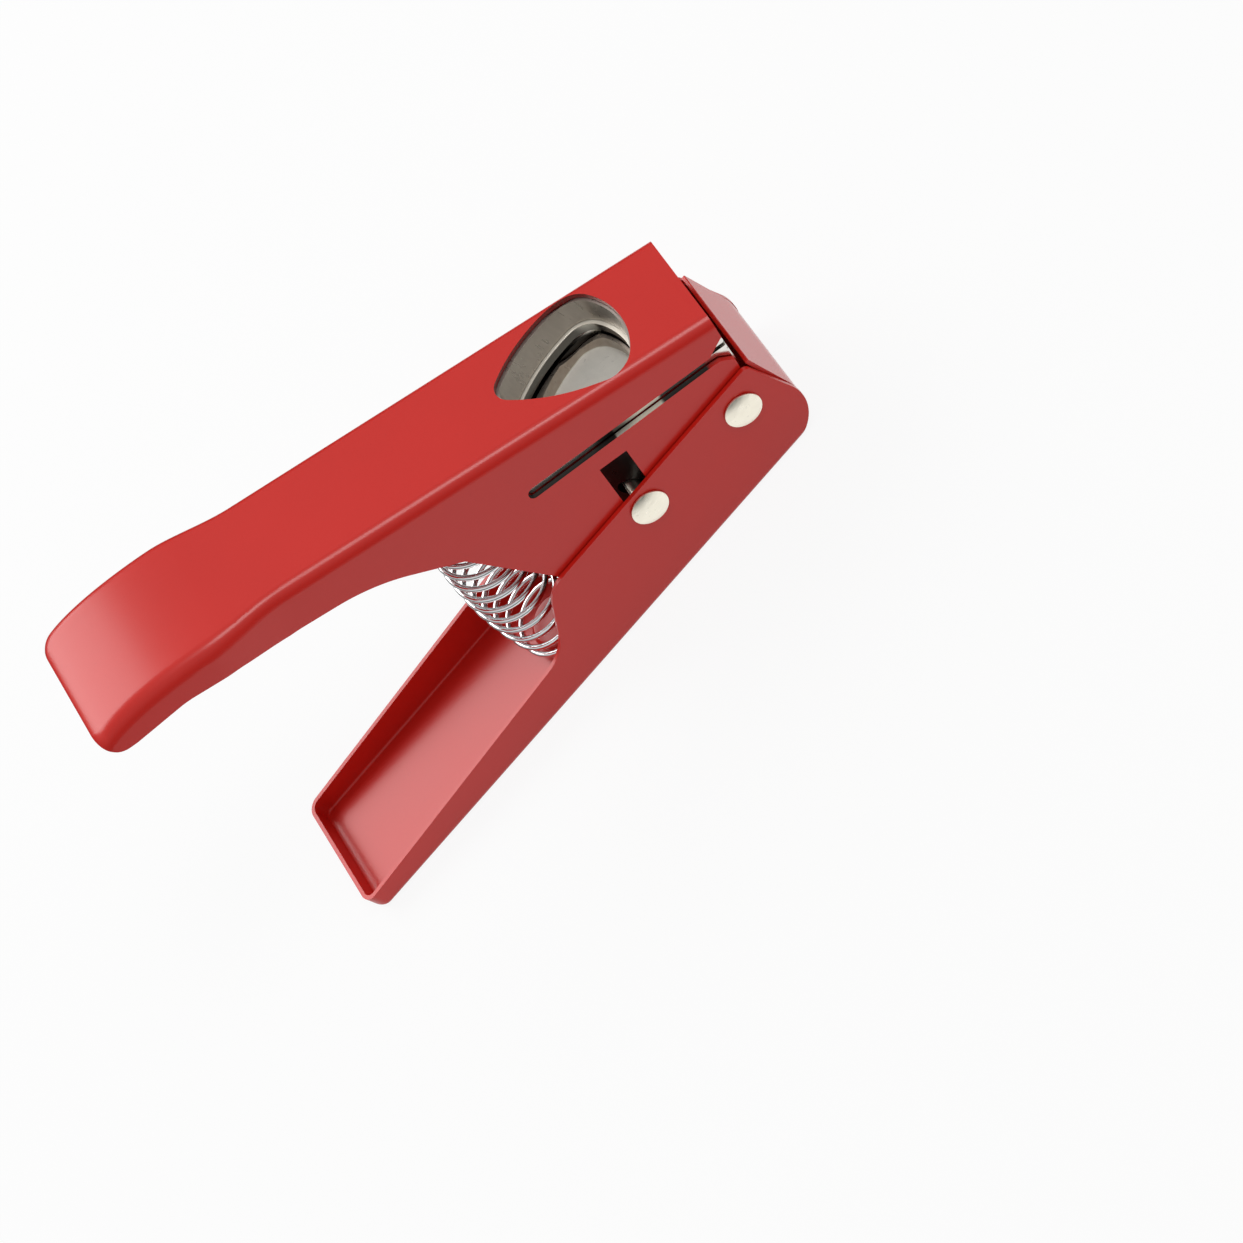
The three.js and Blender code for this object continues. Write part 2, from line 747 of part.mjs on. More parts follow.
// Points along the spring's wire. Each end turns in and runs one wire thickness towards its boss,
// square to the boss's side.
function wirePoints() {
  const line = springLine();
  const coilRadius = springRadius - wireRadius;
  const place = (share, angle, radius) => {
    const ahead = line.getTangentAt(share);
    const aside = new THREE.Vector3(0, 1, 0);
    const across = new THREE.Vector3().crossVectors(aside, ahead);
    return line
      .getPointAt(share)
      .addScaledVector(across, radius * Math.cos(angle))
      .addScaledVector(aside, radius * Math.sin(angle));
  };
  const steps = coils * stepsPerCoil;
  const points = [place(0, 0, coilRadius - wireDiameter)];
  for (let step = 0; step <= steps; step++) {
    points.push(place(step / steps, (step / stepsPerCoil) * 2 * Math.PI, coilRadius));
  }
  points.push(place(1, coils * 2 * Math.PI, coilRadius - wireDiameter));
  return points;
}

// Least distance between the wire's surfaces on two coils, measured on its points.
function leastWireGap(points) {
  let least = Infinity;
  points.forEach((point, i) => {
    for (let k = i + stepsPerCoil / 2; k < points.length; k++) {
      least = Math.min(least, point.distanceTo(points[k]));
    }
  });
  return least - wireDiameter;
}

// One unbroken tube along the points.
function wireSolid(points) {
  const positions = [];
  const index = [];
  let side = new THREE.Vector3(0, 1, 0);
  points.forEach((point, i) => {
    const before = points[Math.max(i - 1, 0)];
    const after = points[Math.min(i + 1, points.length - 1)];
    const into = point.clone().sub(before).normalize();
    const out = after.clone().sub(point).normalize();
    const ahead = into.add(out).normalize();
    side = side.clone().addScaledVector(ahead, -side.dot(ahead)).normalize();
    const up = new THREE.Vector3().crossVectors(ahead, side);
    for (let k = 0; k < wireSides; k++) {
      const angle = (k / wireSides) * 2 * Math.PI;
      const corner = point
        .clone()
        .addScaledVector(side, wireRadius * Math.cos(angle))
        .addScaledVector(up, wireRadius * Math.sin(angle));
      positions.push(corner.x, corner.y, corner.z);
      if (i) {
        const a = (i - 1) * wireSides + k;
        const b = (i - 1) * wireSides + ((k + 1) % wireSides);
        index.push(a, b, b + wireSides, a, b + wireSides, a + wireSides);
      }
    }
  });
  const last = (points.length - 1) * wireSides;
  for (let k = 1; k + 1 < wireSides; k++) {
    index.push(0, k + 1, k);
    index.push(last, last + k, last + k + 1);
  }
  const geometry = new THREE.BufferGeometry();
  geometry.setAttribute("position", new THREE.Float32BufferAttribute(positions, 3));
  geometry.setIndex(index);
  return solidOf(geometry);
}

// Pieces parallel to the card slot
const cardFrame = new THREE.Group();
cardFrame.position.set(0, 0, pivotDepth - cardDepth);
cardFrame.rotation.y = -cardTilt;
cardFrame.add(meshOf("die_plate", diePlate(), brightSteel));
cardFrame.add(meshOf("guide_plate", guidePlate(), brightSteel));
cardFrame.add(meshOf("card_stop", cardStop(), zincSteel));
cardFrame.add(meshOf("punch", punch(), toolSteel));
for (const [name, back, across, screw] of screwPlaces) {
  const mesh = meshOf(name, screw(0), zincSteel);
  mesh.position.set(-back, across, 0);
  cardFrame.add(mesh);
}

// The block's screw holes lie in the card slot's frame, and the block itself in the lever's.
function drilledBlock() {
  const degrees = THREE.MathUtils.radToDeg(cardTilt);
  const holes = screwPlaces.map(([, back, across, screw]) =>
    screw(guideFit)
      .translate(-back, across, 0)
      .rotate(0, -degrees, 0)
      .translate(0, 0, pivotDepth - cardDepth),
  );
  return holes.reduce((rest, hole) => rest.subtract(hole), dieBlock());
}

const upperLever = new THREE.Group();
upperLever.position.set(0, 0, pivotHeight);
upperLever.rotation.y = openAngle;
upperLever.add(meshOf("upper_housing", upperHousing(), red));
upperLever.add(meshOf("die_block", drilledBlock(), toolSteel));
upperLever.add(meshOf("pivot_sleeve", pivotSleeve(), zincSteel));
upperLever.add(cardFrame);
const upperSeat = meshOf("upper_spring_seat", springSeat(), red);
upperSeat.rotation.x = Math.PI;
upperSeat.position.set(-springTopBack, 0, pivotDepth - sheet - gap);
upperLever.add(upperSeat);

const springPoints = wirePoints();
console.log("return_spring: least gap between coils", leastWireGap(springPoints).toFixed(2), "mm");

const pickPunch = new THREE.Group();
pickPunch.position.set(pivotX, 0, 0);
pickPunch.add(meshOf("lower_handle", lowerHandle(), red));
const pivotPin = meshOf("pivot_pin", rivet(pivotRadius), nickel);
pivotPin.position.set(0, 0, pivotHeight);
pickPunch.add(pivotPin);
const drivePin = meshOf("drive_pin", rivet(driveRadius), nickel);
drivePin.position.set(-driveReach, 0, pivotHeight + driveRise);
pickPunch.add(drivePin);
const lowerSeat = meshOf("lower_spring_seat", springSeat(), red);
lowerSeat.position.set(-springBack, 0, traySheet + gap);
pickPunch.add(lowerSeat);
pickPunch.add(meshOf("return_spring", wireSolid(springPoints), brightSteel));
pickPunch.add(upperLever);

export default pickPunch;
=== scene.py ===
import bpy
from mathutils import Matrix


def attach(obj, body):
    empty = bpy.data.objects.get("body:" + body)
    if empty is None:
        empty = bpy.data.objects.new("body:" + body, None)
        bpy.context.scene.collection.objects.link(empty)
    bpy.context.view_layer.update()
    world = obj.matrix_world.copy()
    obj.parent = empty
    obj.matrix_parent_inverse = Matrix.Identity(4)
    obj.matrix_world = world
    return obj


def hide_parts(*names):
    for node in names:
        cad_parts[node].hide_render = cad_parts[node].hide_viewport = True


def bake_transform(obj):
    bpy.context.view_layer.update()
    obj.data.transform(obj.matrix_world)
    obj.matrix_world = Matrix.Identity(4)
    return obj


bl_info = {
    "name": "Guitar Pick Punch",
    "version": (1, 0, 0),
    "blender": (4, 5, 0),
    "location": "View3D > Sidebar > Pick Punch",
    "description": "Builds a hand-held guitar pick punch of two folded levers, a die and a spring",
    "category": "Object",
}

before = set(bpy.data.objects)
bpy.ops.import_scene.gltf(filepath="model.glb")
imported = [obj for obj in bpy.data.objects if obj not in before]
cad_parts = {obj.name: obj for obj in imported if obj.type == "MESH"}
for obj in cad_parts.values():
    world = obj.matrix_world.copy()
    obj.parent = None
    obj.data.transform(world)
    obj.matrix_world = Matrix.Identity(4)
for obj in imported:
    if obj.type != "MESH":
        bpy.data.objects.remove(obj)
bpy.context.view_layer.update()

import math
from types import SimpleNamespace

import bmesh
import bpy
from bpy.props import FloatProperty, FloatVectorProperty, IntProperty, PointerProperty
from bpy.types import Operator, Panel, PropertyGroup
from mathutils import Matrix, Vector

PHOTO_LENS_SHARE = 4.23668  # focal length as a share of the frame's width
FILM = 36  # width of the camera's frame in millimetres

# The stage, in metres and degrees
KEY_PLACE, TOP_PLACE, AIM, FLOOR = (-0.45, 0.8, 0.86), (0.62, -0.27, 1.18), (0, 0, 0.04), 3
CAMERA_PLACE, CAMERA_TURN = (0.31028, -0.77408, 0.81144), (23.66796, 39.81101, -33.91385)

# Shapes are drawn in millimetres and brought to metres when they are finished.
MM = 0.001
METRES = Matrix.Scale(MM, 4)
OVERRUN = 6.0  # how far a cutting shape runs past what it cuts
WELD = 0.002  # points closer than this are one
FLAT = math.radians(0.05)  # faces that meet below this angle are one
SMALLEST_ARC = 0.07  # a corner with a smaller radius stays sharp
ROOM_SHARE = 0.49  # of an edge, what a corner at its end may take
QUARTER = math.pi / 2

# Faces that meet below one of the first three angles are shaded as one, on plain pieces, on
# rounded ones and on the wire, and an edge above the last angle is rounded.
SMOOTH, ROUNDED_SMOOTH, WIRE_SMOOTH, ROUND_FROM = (math.radians(a) for a in (32, 50, 60, 34))

# Steps along a quarter turn or a stretch
CORNER_STEPS, FINE_STEPS, SLOT_STEPS, FOLD_STEPS, ARC_STEPS = 9, 20, 16, 12, 18
FLARE_STEPS, NOSE_STEPS, TAIL_STEPS, EDGE_STEPS, DOME_STEPS, SPINE_STEPS = 30, 40, 12, 4, 12, 64

# Side plates' lower edge behind the drive pin: back as shares of the lever's length, down and
# corner radius as shares of the plates' depth
SKIRT_SHARES = (
    (0.317, 1, 0.11),
    (0.4385, 0.479, 0.02),
    (0.563, 0.277, 0.9),
    (0.695, 0.264, 0.3),
    (0.775, 0.2165, 0.4),
    (0.862, 0.208, 0.4),
    (0.948, 0.262, 0.2),
    (0.972, 0.268, 0.09),
    (1.01, 0.15, 0),
)
# Radius at the lobe's foot, as a share of the lobe's own
LOBE_SHARE = 0.97
# A pan head's outline: radius and height as shares of its own
PAN_SHARES = ((0.8, 1), (0.95, 0.8), (1, 0.5), (1, 0))
# A screw's driving hole, as a share of the screw's radius
SOCKET_SHARE = 0.6
# Where the spring's wire turns in at each end, as a share of the wire
TURN_IN_SHARE = 0.03
# How far the painted shade ring reaches past the punch's hole, as a share of the window's outline
SHADE_RING_SHARE = 1.12
# The pick's arcs as shares of its width
END_SHARE, SHOULDER_SHARE, FLANK_SHARE, TIP_SHARE = 0.73, 0.255, 1.533, 0.157


def length(text, millimetres):
    """A length that the user may set, stored in metres."""
    value = millimetres / 1000
    return FloatProperty(description=text, default=value, min=0.0, precision=5, unit="LENGTH")


def colour(text, *tint):
    """A linear colour that the user may set."""
    return FloatVectorProperty(
        description=text, default=tint, min=0.0, max=1.0, size=3, subtype="COLOR"
    )


def angle(text, degrees):
    """An angle that the user may set."""
    return FloatProperty(description=text, default=math.radians(degrees), subtype="ANGLE")


def count(text, number):
    """A whole number that the user may set."""
    return IntProperty(description=text, default=number, min=1)


def share(text, number):
    """A plain number that the user may set."""
    return FloatProperty(description=text, default=number, precision=3)


class PickPunchLinkage(PropertyGroup):
    """Where the levers, the card slot and the two pins stand."""

    pivot_x: length("Pivot pin ahead of the middle of the whole", 65.0071)
    pivot_height: length("Pivot pin above the ground", 20.1)
    pivot_depth: length("Pivot pin below the upper lever's top", 26.6)
    drive_reach: length("Drive pin behind the pivot pin", 29.2)
    drive_rise: length("Drive pin above the pivot pin", 1.9)
    drive_travel: length("Drive pin's way along the punch", 1.1)
    card_depth: length("Die's cutting face below the top at the pivot", 9.2)
    card_gap: length("Height of the slot between the plates", 1.0)
    open_angle: angle("Angle between the levers at rest", 24)
    card_tilt: angle("Angle between the card slot and the upper lever's top", 5.5)


class PickPunchUpper(PropertyGroup):
    """Sizes of the upper lever's folded sheet."""

    sheet: length("Thickness of the sheet", 1.2)
    width: length("Width over the side plates", 31.2)
    length: length("Pivot pin to tail", 153.7)
    head_overhang: length("Top sheet ahead of the pivot pin", 2.7)
    head_lean: length("Lower front corner ahead of the upper one", 1.0)
    fold_radius: length("Outside radius of the long folds", 3)
    grip_start: length("Where the grip begins, behind the pivot pin", 103.5)
    grip_blend: length("Length over which the grip grows wider", 20)
    grip_flare: length("How much wider the grip is on each side", 2.7)
    grip_corner: length("Outside radius of the grip's folds", 3.7)
    nose_length: length("Length of the drooping tail", 35.7)
    nose_drop: length("Droop of the top sheet at the tail", 9.9)
    nose_corner: length("Radius of the tail's corners seen from above", 3.5)
    lobe_radius: length("Side plates round the pivot pin", 6.5)
    plate_depth: length("Deepest edge of the side plates below the top", 45.5)
    slot_length: length("Card slot behind the pivot pin", 49)
    slot_mouth: length("Slot's height at the head", 2.5)
    slot_rear: length("Slot's height at its closed end", 3.1)
    mouth_up: length("Flare of the slot's upper lip", 3.4)
    mouth_down: length("Flare of the slot's lower lip", 4.4)
    mouth_length: length("Length of the flared mouth", 4)
    mouth_round: length("Radius of the lips", 1.6)
    window_corner: length("Radius of the drive window's corners", 1)
    window_width: length("Drive pin's window in the side plates", 7)
    window_height: length("Drive pin's window in the side plates", 21)
    window_ahead: length("Window's front edge ahead of the drive pin", 3.1)
    window_below: length("Window's lower edge below the drive pin", 4)
    rim_round: length("Rounding of the sheet's cut edges", 0.42)


class PickPunchDie(PropertyGroup):
    """Sizes of the pick, the die stack and the punch."""

    pick_start: length("Window's round end behind the pivot pin", 12)
    pick_length: length("Window from its round end to its tip", 31.2)
    pick_width: length("Widest place of the window", 27.4)
    relief_inset: length("Block's hole inside the window's outline", 0.6)
    die_inset: length("Die's hole inside the window's outline", 1.3)
    block_overhang: length("Block ahead of the pivot pin", 2)
    overhang: length("Plates ahead of the pivot pin", 3.4)
    plate_length: length("Length of both plates", 56.9)
    plate_half: length("Half of the plates' width", 14.1)
    plate_corner: length("Radius of the plates' corners", 0.5)
    die_thickness: length("Thickness of the die plate", 2.5)
    guide_thickness: length("Thickness of the guide plate", 2.5)
    flange_thickness: length("Folded edges of the guide plate", 1.3)
    flange_depth: length("Depth of the guide plate's folded edges", 7)
    flange_inset: length("Between the folded edges and the card stop", 2)
    stop_length: length("Length of the card stop", 5)
    rim_drop: length("Punch's rim below the guide's top at rest", 0.1)
    foot: length("Punch below the drive pin's centre", 5)
    recess_start: length("Punch's wall at its round end", 0.75)
    recess_length: length("Length of the hollow in the punch", 24.2)
    recess_width: length("Width of the hollow in the punch", 23.1)
    recess_depth: length("Depth of the hollow in the punch", 3.7)
    scallop_radius: length("Radius of the dip in the punch's rim", 10.5)
    scallop_dip: length("Depth of the dip in the punch's rim", 1.6)
    scallop_back: length("Middle of the dip behind the round end", 10.2)
    fit: length("Clearance round the punch", 0.16)
    slot_fit: length("Clearance round the drive pin in the punch", 0.2)
    gap: length("Between the block and what lies beside it", 0.3)
    edge_round: length("Rounding of the ground edges", 0.16)
    punch_round: length("Rounding of the punch's edges", 0.096)


class PickPunchFasteners(PropertyGroup):
    """Sizes of the rivets, the screws and the sleeve."""

    head_radius: length("Radius of the rivet heads", 4.4)
    head_height: length("Height of the rivet heads", 1.35)
    head_rim: length("Thickness of the heads at their rims", 0.45)
    head_edge: length("Rounding of the heads' rims", 0.18)
    head_gap: length("Between a head and what it closes on", 0.12)
    pin_fit: length("Clearance round the pins in the levers", 0.09)
    pivot_radius: length("Radius of the pivot pin", 2.5)
    drive_radius: length("Radius of the drive pin", 2)
    screw_radius: length("Radius of the die screws", 1.5)
    screw_spread: length("Screws from the middle plane", 9)
    screw_bite: length("Screws' length in the block", 4.5)
    front_back: length("Front screws behind the pivot pin", 5.4)
    countersink: length("Radius of the front screws' heads", 2.8)
    countersink_depth: length("Height of the front screws' heads", 1.5)
    pan_radius: length("Radius of the rear screws' heads", 2.7)
    pan_height: length("Height of the rear screws' heads", 1.7)
    flat_socket: length("Depth of the front screws' driving holes", 0.6)
    pan_socket: length("Depth of the rear screws' driving holes", 0.7)
    sleeve_radius: length("Radius of the sleeve on the pivot pin", 4.2)
    sleeve_fit: length("Clearance round the pivot pin in the sleeve", 0.18)
    sleeve_round: length("Rounding of the sleeve's edges", 0.2)
    sides: count("Flats round a turned piece", 64)


class PickPunchLower(PropertyGroup):
    """Sizes of the lower lever's folded sheet."""

    sheet: length("Thickness of the sheet", 1.0)
    half: length("Half of the width over the walls", 16.9)
    length: length("Pivot pin to tail", 143.3)
    flange_reach: length("Front flange's face ahead of the pivot pin", 9.8)
    flange_height: length("Front flange's top above the ground", 27.4)
    bend_radius: length("Floor up into the front flange", 24)
    bend_lap: length("Floor that the front flange's sheet shares", 3)
    edge_round: length("Rounding of the front flange's upper edge", 0.25)
    seam: length("Slit between the ears and the front flange", 0.35)
    ear_height: length("Ears' top above the ground", 27.7)
    ear_lean: length("Foot of the ears' front edge ahead of its top", 2.5)
    ear_foot: length("Radius at the foot of the ears' front edge", 12.4)
    ear_length: length("Ears' rear edge behind the pivot pin", 56.9)
    ear_crown: length("Radius of the ears' rear shoulder", 8.5)
    ramp_length: length("Ears' rear edge down to the tray's wall", 11.8)
    ramp_fillet: length("Radius at the foot of the ramp", 12)
    wall_front: length("Tray wall's height at the ears", 11.8)
    wall_rear: length("Tray wall's height at the tail", 5.8)
    fold: length("Outside radius of the tray's long folds", 1.6)
    corner: length("Radius of the tray's corners seen from above", 3)
    ear_corner: length("Radius of the ears' front corner", 1.5)
    rim_round: length("Rounding of the sheet's cut edges", 0.25)


class PickPunchSpring(PropertyGroup):
    """Sizes of the return spring and its bosses."""

    back: length("Foot of the spring behind the pivot pin", 69)
    top_back: length("Head of the spring behind the pivot pin", 64)
    radius: length("Outside radius of the coils", 9.2)
    wire: length("Diameter of the wire", 1.4)
    boss_height: length("Height of the bosses in the spring's ends", 3)
    boss_radius: length("Radius of the bosses", 6.8)
    boss_round: length("Bevel of the bosses", 1.2)
    boss_edge: length("Rounding of the bosses' edges", 0.3)
    gap: length("Between the wire and what it stands on", 0.3)
    coils: count("Number of coils", 16)
    steps: count("Points of the wire in a coil", 36)
    sides: count("Flats round the wire", 10)
    bend: share("Stiffness of the spring's curve, of its length", 0.33)
    turn_in: share("Radius of the wire's ends, of the coil radius", 0.86)


class PickPunchPaintedLight(PropertyGroup):
    """Where light and shade are painted: painted shade on the pick window's cut edges, on the card
    slots' edges and round the punch's way, painted highlights on the slots' edges and the die's ledge,
    and where the punch's steel changes its look.
    """

    # Painted shade darkens the pick window's upright cut edges, out past its widest place and its ends
    side: length("Thin paint past the pick window's widest place", 0.2)
    side_fade: length("Fading of the thin paint to the sides", 0.3)
    ends: length("Past the ends of the pick window and the card slot", 1)
    ends_fade: length("Fading past the ends", 0.5)
    # The card slots' edges carry painted shade, nearly black, with a painted highlight streak along
    # them
    lip: length("Bare edge above and below the card slot", 0.5)
    lip_fade: length("Fading of the bare edge", 0.2)
    slot_front: length("Bare edge's front behind the pivot pin", 2)
    front_fade: length("Fading at the front of the bare edge and the streak", 1)
    streak_start: length("Bright streak's front behind the pivot pin", 14)
    streak_end: length("Bright streak's rear end behind the pivot pin", 27)
    end_fade: length("Fading at the rear end of the bright streak", 0.6)
    # The die plate's top band carries a painted highlight, and a ring of painted shade runs round the
    # punch's way
    ledge: length("Die plate's bright ledge, down from its top", 0.35)
    under_die: length("Where the dark ring begins under the die plate's face", 0.05)
    # The punch's seat is partly a dull finish and partly a painted reflection; below the cutting end it
    # is black oxide with painted shade
    seat: length("Dull seat in the punch, up from its floor", 0.15)
    blend: length("Blend between the looks of the steel", 0.3)
    oxide_blend: length("Blend between bright steel and black oxide", 0.8)


class PickPunchColours(PropertyGroup):
    """Colours of the finishes, with the painted highlight and painted shade that they carry."""

    paint: colour("Satin powder coat", 0.57, 0.012, 0.006)
    steel: colour("Ground steel of the block and the punch", 0.52, 0.475, 0.42)
    # Near-black: black oxide on the punch's foot, and painted shade in the card slots and round the
    # punch's way
    oxide: colour("Punch below its cutting end", 0.02, 0.018, 0.016)
    # Painted shade: darker brown mottling on the wall of the punch's hollow
    smear: colour("Oil and rust in the punch", 0.34, 0.25, 0.19)
    # Light grey seat: a dull ground finish, lightened as a painted reflection of the lamp overhead
    seat: colour("Dull seat in the hollow of the punch", 0.74, 0.72, 0.66)
    # Painted highlight: the cream on the die's ledge and on the card slots' edges
    ledge: colour("Ground ledge of the die under the window", 0.95, 0.89, 0.78)
    plated: colour("Bright plates", 0.8, 0.78, 0.73)
    nickel: colour("Satin rivets", 0.93, 0.88, 0.75)
    chrome: colour("Bright wire", 0.86, 0.87, 0.88)
    zinc: colour("Hidden screws, sleeve and card stop", 0.6, 0.6, 0.57)


class PickPunchStage(PropertyGroup):
    """The floor, the lamps and the camera."""

    floor: colour("Pale floor", 0.7, 0.7, 0.7)
    floor_drop: length("Between the floor and the lower lever", 0.05)
    sky: share("Strength of the light from all round", 0.52)
    key: share("Power of the large lamp behind the tail, in watts", 9.5)
    top: share("Power of the lamp overhead, in watts", 4)
    seen_white: share("How much the floor's colour gives way to white", 0.9)
    floor_gloss: share("How much of that glossy pieces see", 1.0)
    near_floor: length("Where the floor in gloss begins to fade", 90)
    far_floor: length("Where the floor in gloss has faded", 260)
    low_gloss: share("White of the surroundings in gloss, near the floor", 0.05)
    high_gloss: share("White of the surroundings in gloss, overhead", 0.75)
    overhead: share("Rise of the direction that counts as overhead", 0.75)
    key_size: length("Side of the large lamp", 900)
    top_size: length("Side of the lamp overhead", 400)
    lens: share("Focal length in millimetres", FILM * PHOTO_LENS_SHARE)


GROUPS = {
    "linkage": PickPunchLinkage,
    "upper": PickPunchUpper,
    "die": PickPunchDie,
    "fasteners": PickPunchFasteners,
    "lower": PickPunchLower,
    "spring": PickPunchSpring,
    "wear": PickPunchPaintedLight,
    "colours": PickPunchColours,
    "stage": PickPunchStage,
}


class PickPunchSettings(PropertyGroup):
    """All sizes and colours of the punch."""

    __annotations__ = {name: PointerProperty(type=group) for name, group in GROUPS.items()}


def settings(name):
    """The user's settings of one group."""
    return getattr(bpy.context.scene.pick_punch, name)


def sizes(name):
    """One group's settings, with its lengths in millimetres."""
    group = settings(name)
    kinds = group.bl_rna.properties
    return SimpleNamespace(
        **{
            key: getattr(group, key) * (1000 if kinds[key].unit == "LENGTH" else 1)
            for key in GROUPS[name].__annotations__
        }
    )


# Places


def lower_frame():
    """The lower lever's frame, with the pivot pin above its origin."""
    return Matrix.Translation((sizes("linkage").pivot_x, 0, 0))


def upper_frame():
    """The upper lever's frame, with the pivot pin at its origin and its top level."""
    link = sizes("linkage")
    return Matrix.Translation((link.pivot_x, 0, link.pivot_height)) @ Matrix.Rotation(
        link.open_angle, 4, "Y"
    )


def card_in_upper():
    """The card slot's frame in the upper lever's, with the die's face at height 0."""
    link = sizes("linkage")
    return Matrix.Translation((0, 0, link.pivot_depth - link.card_depth)) @ Matrix.Rotation(
        -link.card_tilt, 4, "Y"
    )


def card_place(along, above):
    """A place in the card slot's frame, as back and height in the upper lever's."""
    place = card_in_upper() @ Vector((-along, 0, above))
    return -place.x, place.z


def drive_in_card():
    """The drive pin at rest in the card slot's frame, as along and above."""
    link = sizes("linkage")
    place = lower_frame() @ Vector((-link.drive_reach, 0, link.pivot_height + link.drive_rise))
    place = (upper_frame() @ card_in_upper()).inverted() @ place
    return -place.x, place.z


# Shapes


def quarter(steps):
    """The angles of a quarter turn."""
    return [QUARTER * step / steps for step in range(steps + 1)]


def rounded(corners, steps=CORNER_STEPS):
    """An outline through corners (x, y, radius), each rounded as far as there is room."""
    points = []
    for i, (x, y, radius) in enumerate(corners):
        corner = Vector((x, y))
        before = Vector(corners[i - 1][:2]) - corner
        after = Vector(corners[(i + 1) % len(corners)][:2]) - corner
        room = min(before.length, after.length) * ROOM_SHARE
        before.normalize()
        after.normalize()
        half = math.acos(max(-1.0, min(1.0, before.dot(after)))) / 2
        reach = min(radius / math.tan(half), room)
        arc = reach * math.tan(half)
        if arc < SMALLEST_ARC:
            points.append(corner)
            continue
        centre = corner + (before + after).normalized() * (arc / math.sin(half))
        start = corner + before * reach - centre
        end = corner + after * reach - centre
        turn = math.atan2(start.x * end.y - start.y * end.x, start.dot(end))
        for step in range(steps + 1):
            points.append(centre + Matrix.Rotation(turn * step / steps, 2) @ start)
    return points


def pick_outline(start, long, wide, inset):
    """The pick from its round end to its tip, in arcs that are tangent to each other."""
    end, shoulder = wide * END_SHARE, wide * SHOULDER_SHARE
    flank, tip = wide * FLANK_SHARE, wide * TIP_SHARE
    half = wide / 2
    end_centre = Vector((end, 0))
    shoulder_centre = Vector(
        (end - math.sqrt((end - shoulder) ** 2 - (half - shoulder) ** 2), half - shoulder)
    )
    tip_centre = Vector((long - tip, 0))
    to_tip = tip_centre - shoulder_centre
    span = to_tip.length
    along = ((flank - shoulder) ** 2 - (flank - tip) ** 2 + span**2) / (2 * span)
    aside = math.sqrt((flank - shoulder) ** 2 - along**2)
    to_tip.normalize()
    flank_centre = shoulder_centre + to_tip * along + Vector((to_tip.y, -to_tip.x)) * aside

    def angle_from(a, b):
        return math.atan2(b.y - a.y, b.x - a.x) % (2 * math.pi)

    first = angle_from(end_centre, shoulder_centre)
    second = angle_from(flank_centre, shoulder_centre)
    third = angle_from(flank_centre, tip_centre)
    arcs = (
        (end_centre, end, math.pi, first),
        (shoulder_centre, shoulder, first, second),
        (flank_centre, flank, second, third),
        (tip_centre, tip, third, 0),
    )
    side = []
    for centre, radius, low, high in arcs:
        for step in range(ARC_STEPS):
            a = low + (high - low) * step / ARC_STEPS
            side.append(centre + Vector((math.cos(a), math.sin(a))) * (radius - inset))
    points = side + [Vector((long - inset, 0))]
    points += [Vector((p.x, -p.y)) for p in reversed(side[1:])]
    return [Vector((p.x + start, p.y)) for p in points]


def mesh_object(name, vertices, faces):
    """A closed mesh from points and faces, with its faces turned outwards."""
    mesh = bpy.data.meshes.new(name)
    mesh.from_pydata([tuple(v) for v in vertices], [], faces)
    made = bmesh.new()
    made.from_mesh(mesh)
    bmesh.ops.recalc_face_normals(made, faces=made.faces)
    made.to_mesh(mesh)
    made.free()
    piece = bpy.data.objects.new(name, mesh)
    bpy.context.scene.collection.objects.link(piece)
    return piece


def prism(low_points, high_points):
    """A solid between two outlines that have the same number of points."""
    n = len(low_points)
    faces = [tuple(range(n)), tuple(range(n, 2 * n))]
    faces += [(i, (i + 1) % n, n + (i + 1) % n, n + i) for i in range(n)]
    return mesh_object("prism", [*low_points, *high_points], faces)


def side_prism(corners, half, steps=CORNER_STEPS):
    """A prism across the punch from corners (back, height, radius)."""
    outline = rounded(corners, steps)
    return prism(*([Vector((-p.x, y, p.y)) for p in outline] for y in (-half, half)))


def flat_prism(outline, low, high):
    """An upright prism from an outline of (back, across)."""
    return prism(*([Vector((-p.x, p.y, z)) for p in outline] for z in (low, high)))


def rectangle(low, high, half, corner):
    """A plan with rounded corners, as an outline of (back, across)."""
    return rounded(
        [(low, -half, corner), (high, -half, corner), (high, half, corner), (low, half, corner)]
    )


def round_bar(radius, back, height, half):
    """A round bar across the punch."""
    sides = sizes("fasteners").sides
    ring = [2 * math.pi * i / sides for i in range(sides)]
    ring = [(radius * math.cos(a) - back, height + radius * math.sin(a)) for a in ring]
    return prism(*([Vector((x, y, z)) for x, z in ring] for y in (-half, half)))


def turned(profile, upright=True):
    """A turned piece from a profile of (radius, along) that starts and ends on its axis, or that
    closes on itself when it stays clear of the axis."""
    sides = sizes("fasteners").sides
    open_ring = profile[0][0] > 0
    vertices, faces, rings = [], [], []
    for radius, along in profile:
        if radius == 0:
            rings.append([len(vertices)] * sides)
            vertices.append(Vector((0, 0, along)))
            continue
        rings.append(list(range(len(vertices), len(vertices) + sides)))
        for i in range(sides):
            a = 2 * math.pi * i / sides
            vertices.append(Vector((radius * math.cos(a), radius * math.sin(a), along)))
    for low, high in zip(rings, rings[1:] + (rings[:1] if open_ring else [])):
        for i in range(sides):
            k = (i + 1) % sides
            loop = [low[i], low[k], high[k], high[i]]
            faces.append(tuple(dict.fromkeys(loop)))
    piece = mesh_object("turned", vertices, faces)
    if not upright:
        piece.data.transform(Matrix.Rotation(QUARTER, 4, "X"))
    return piece


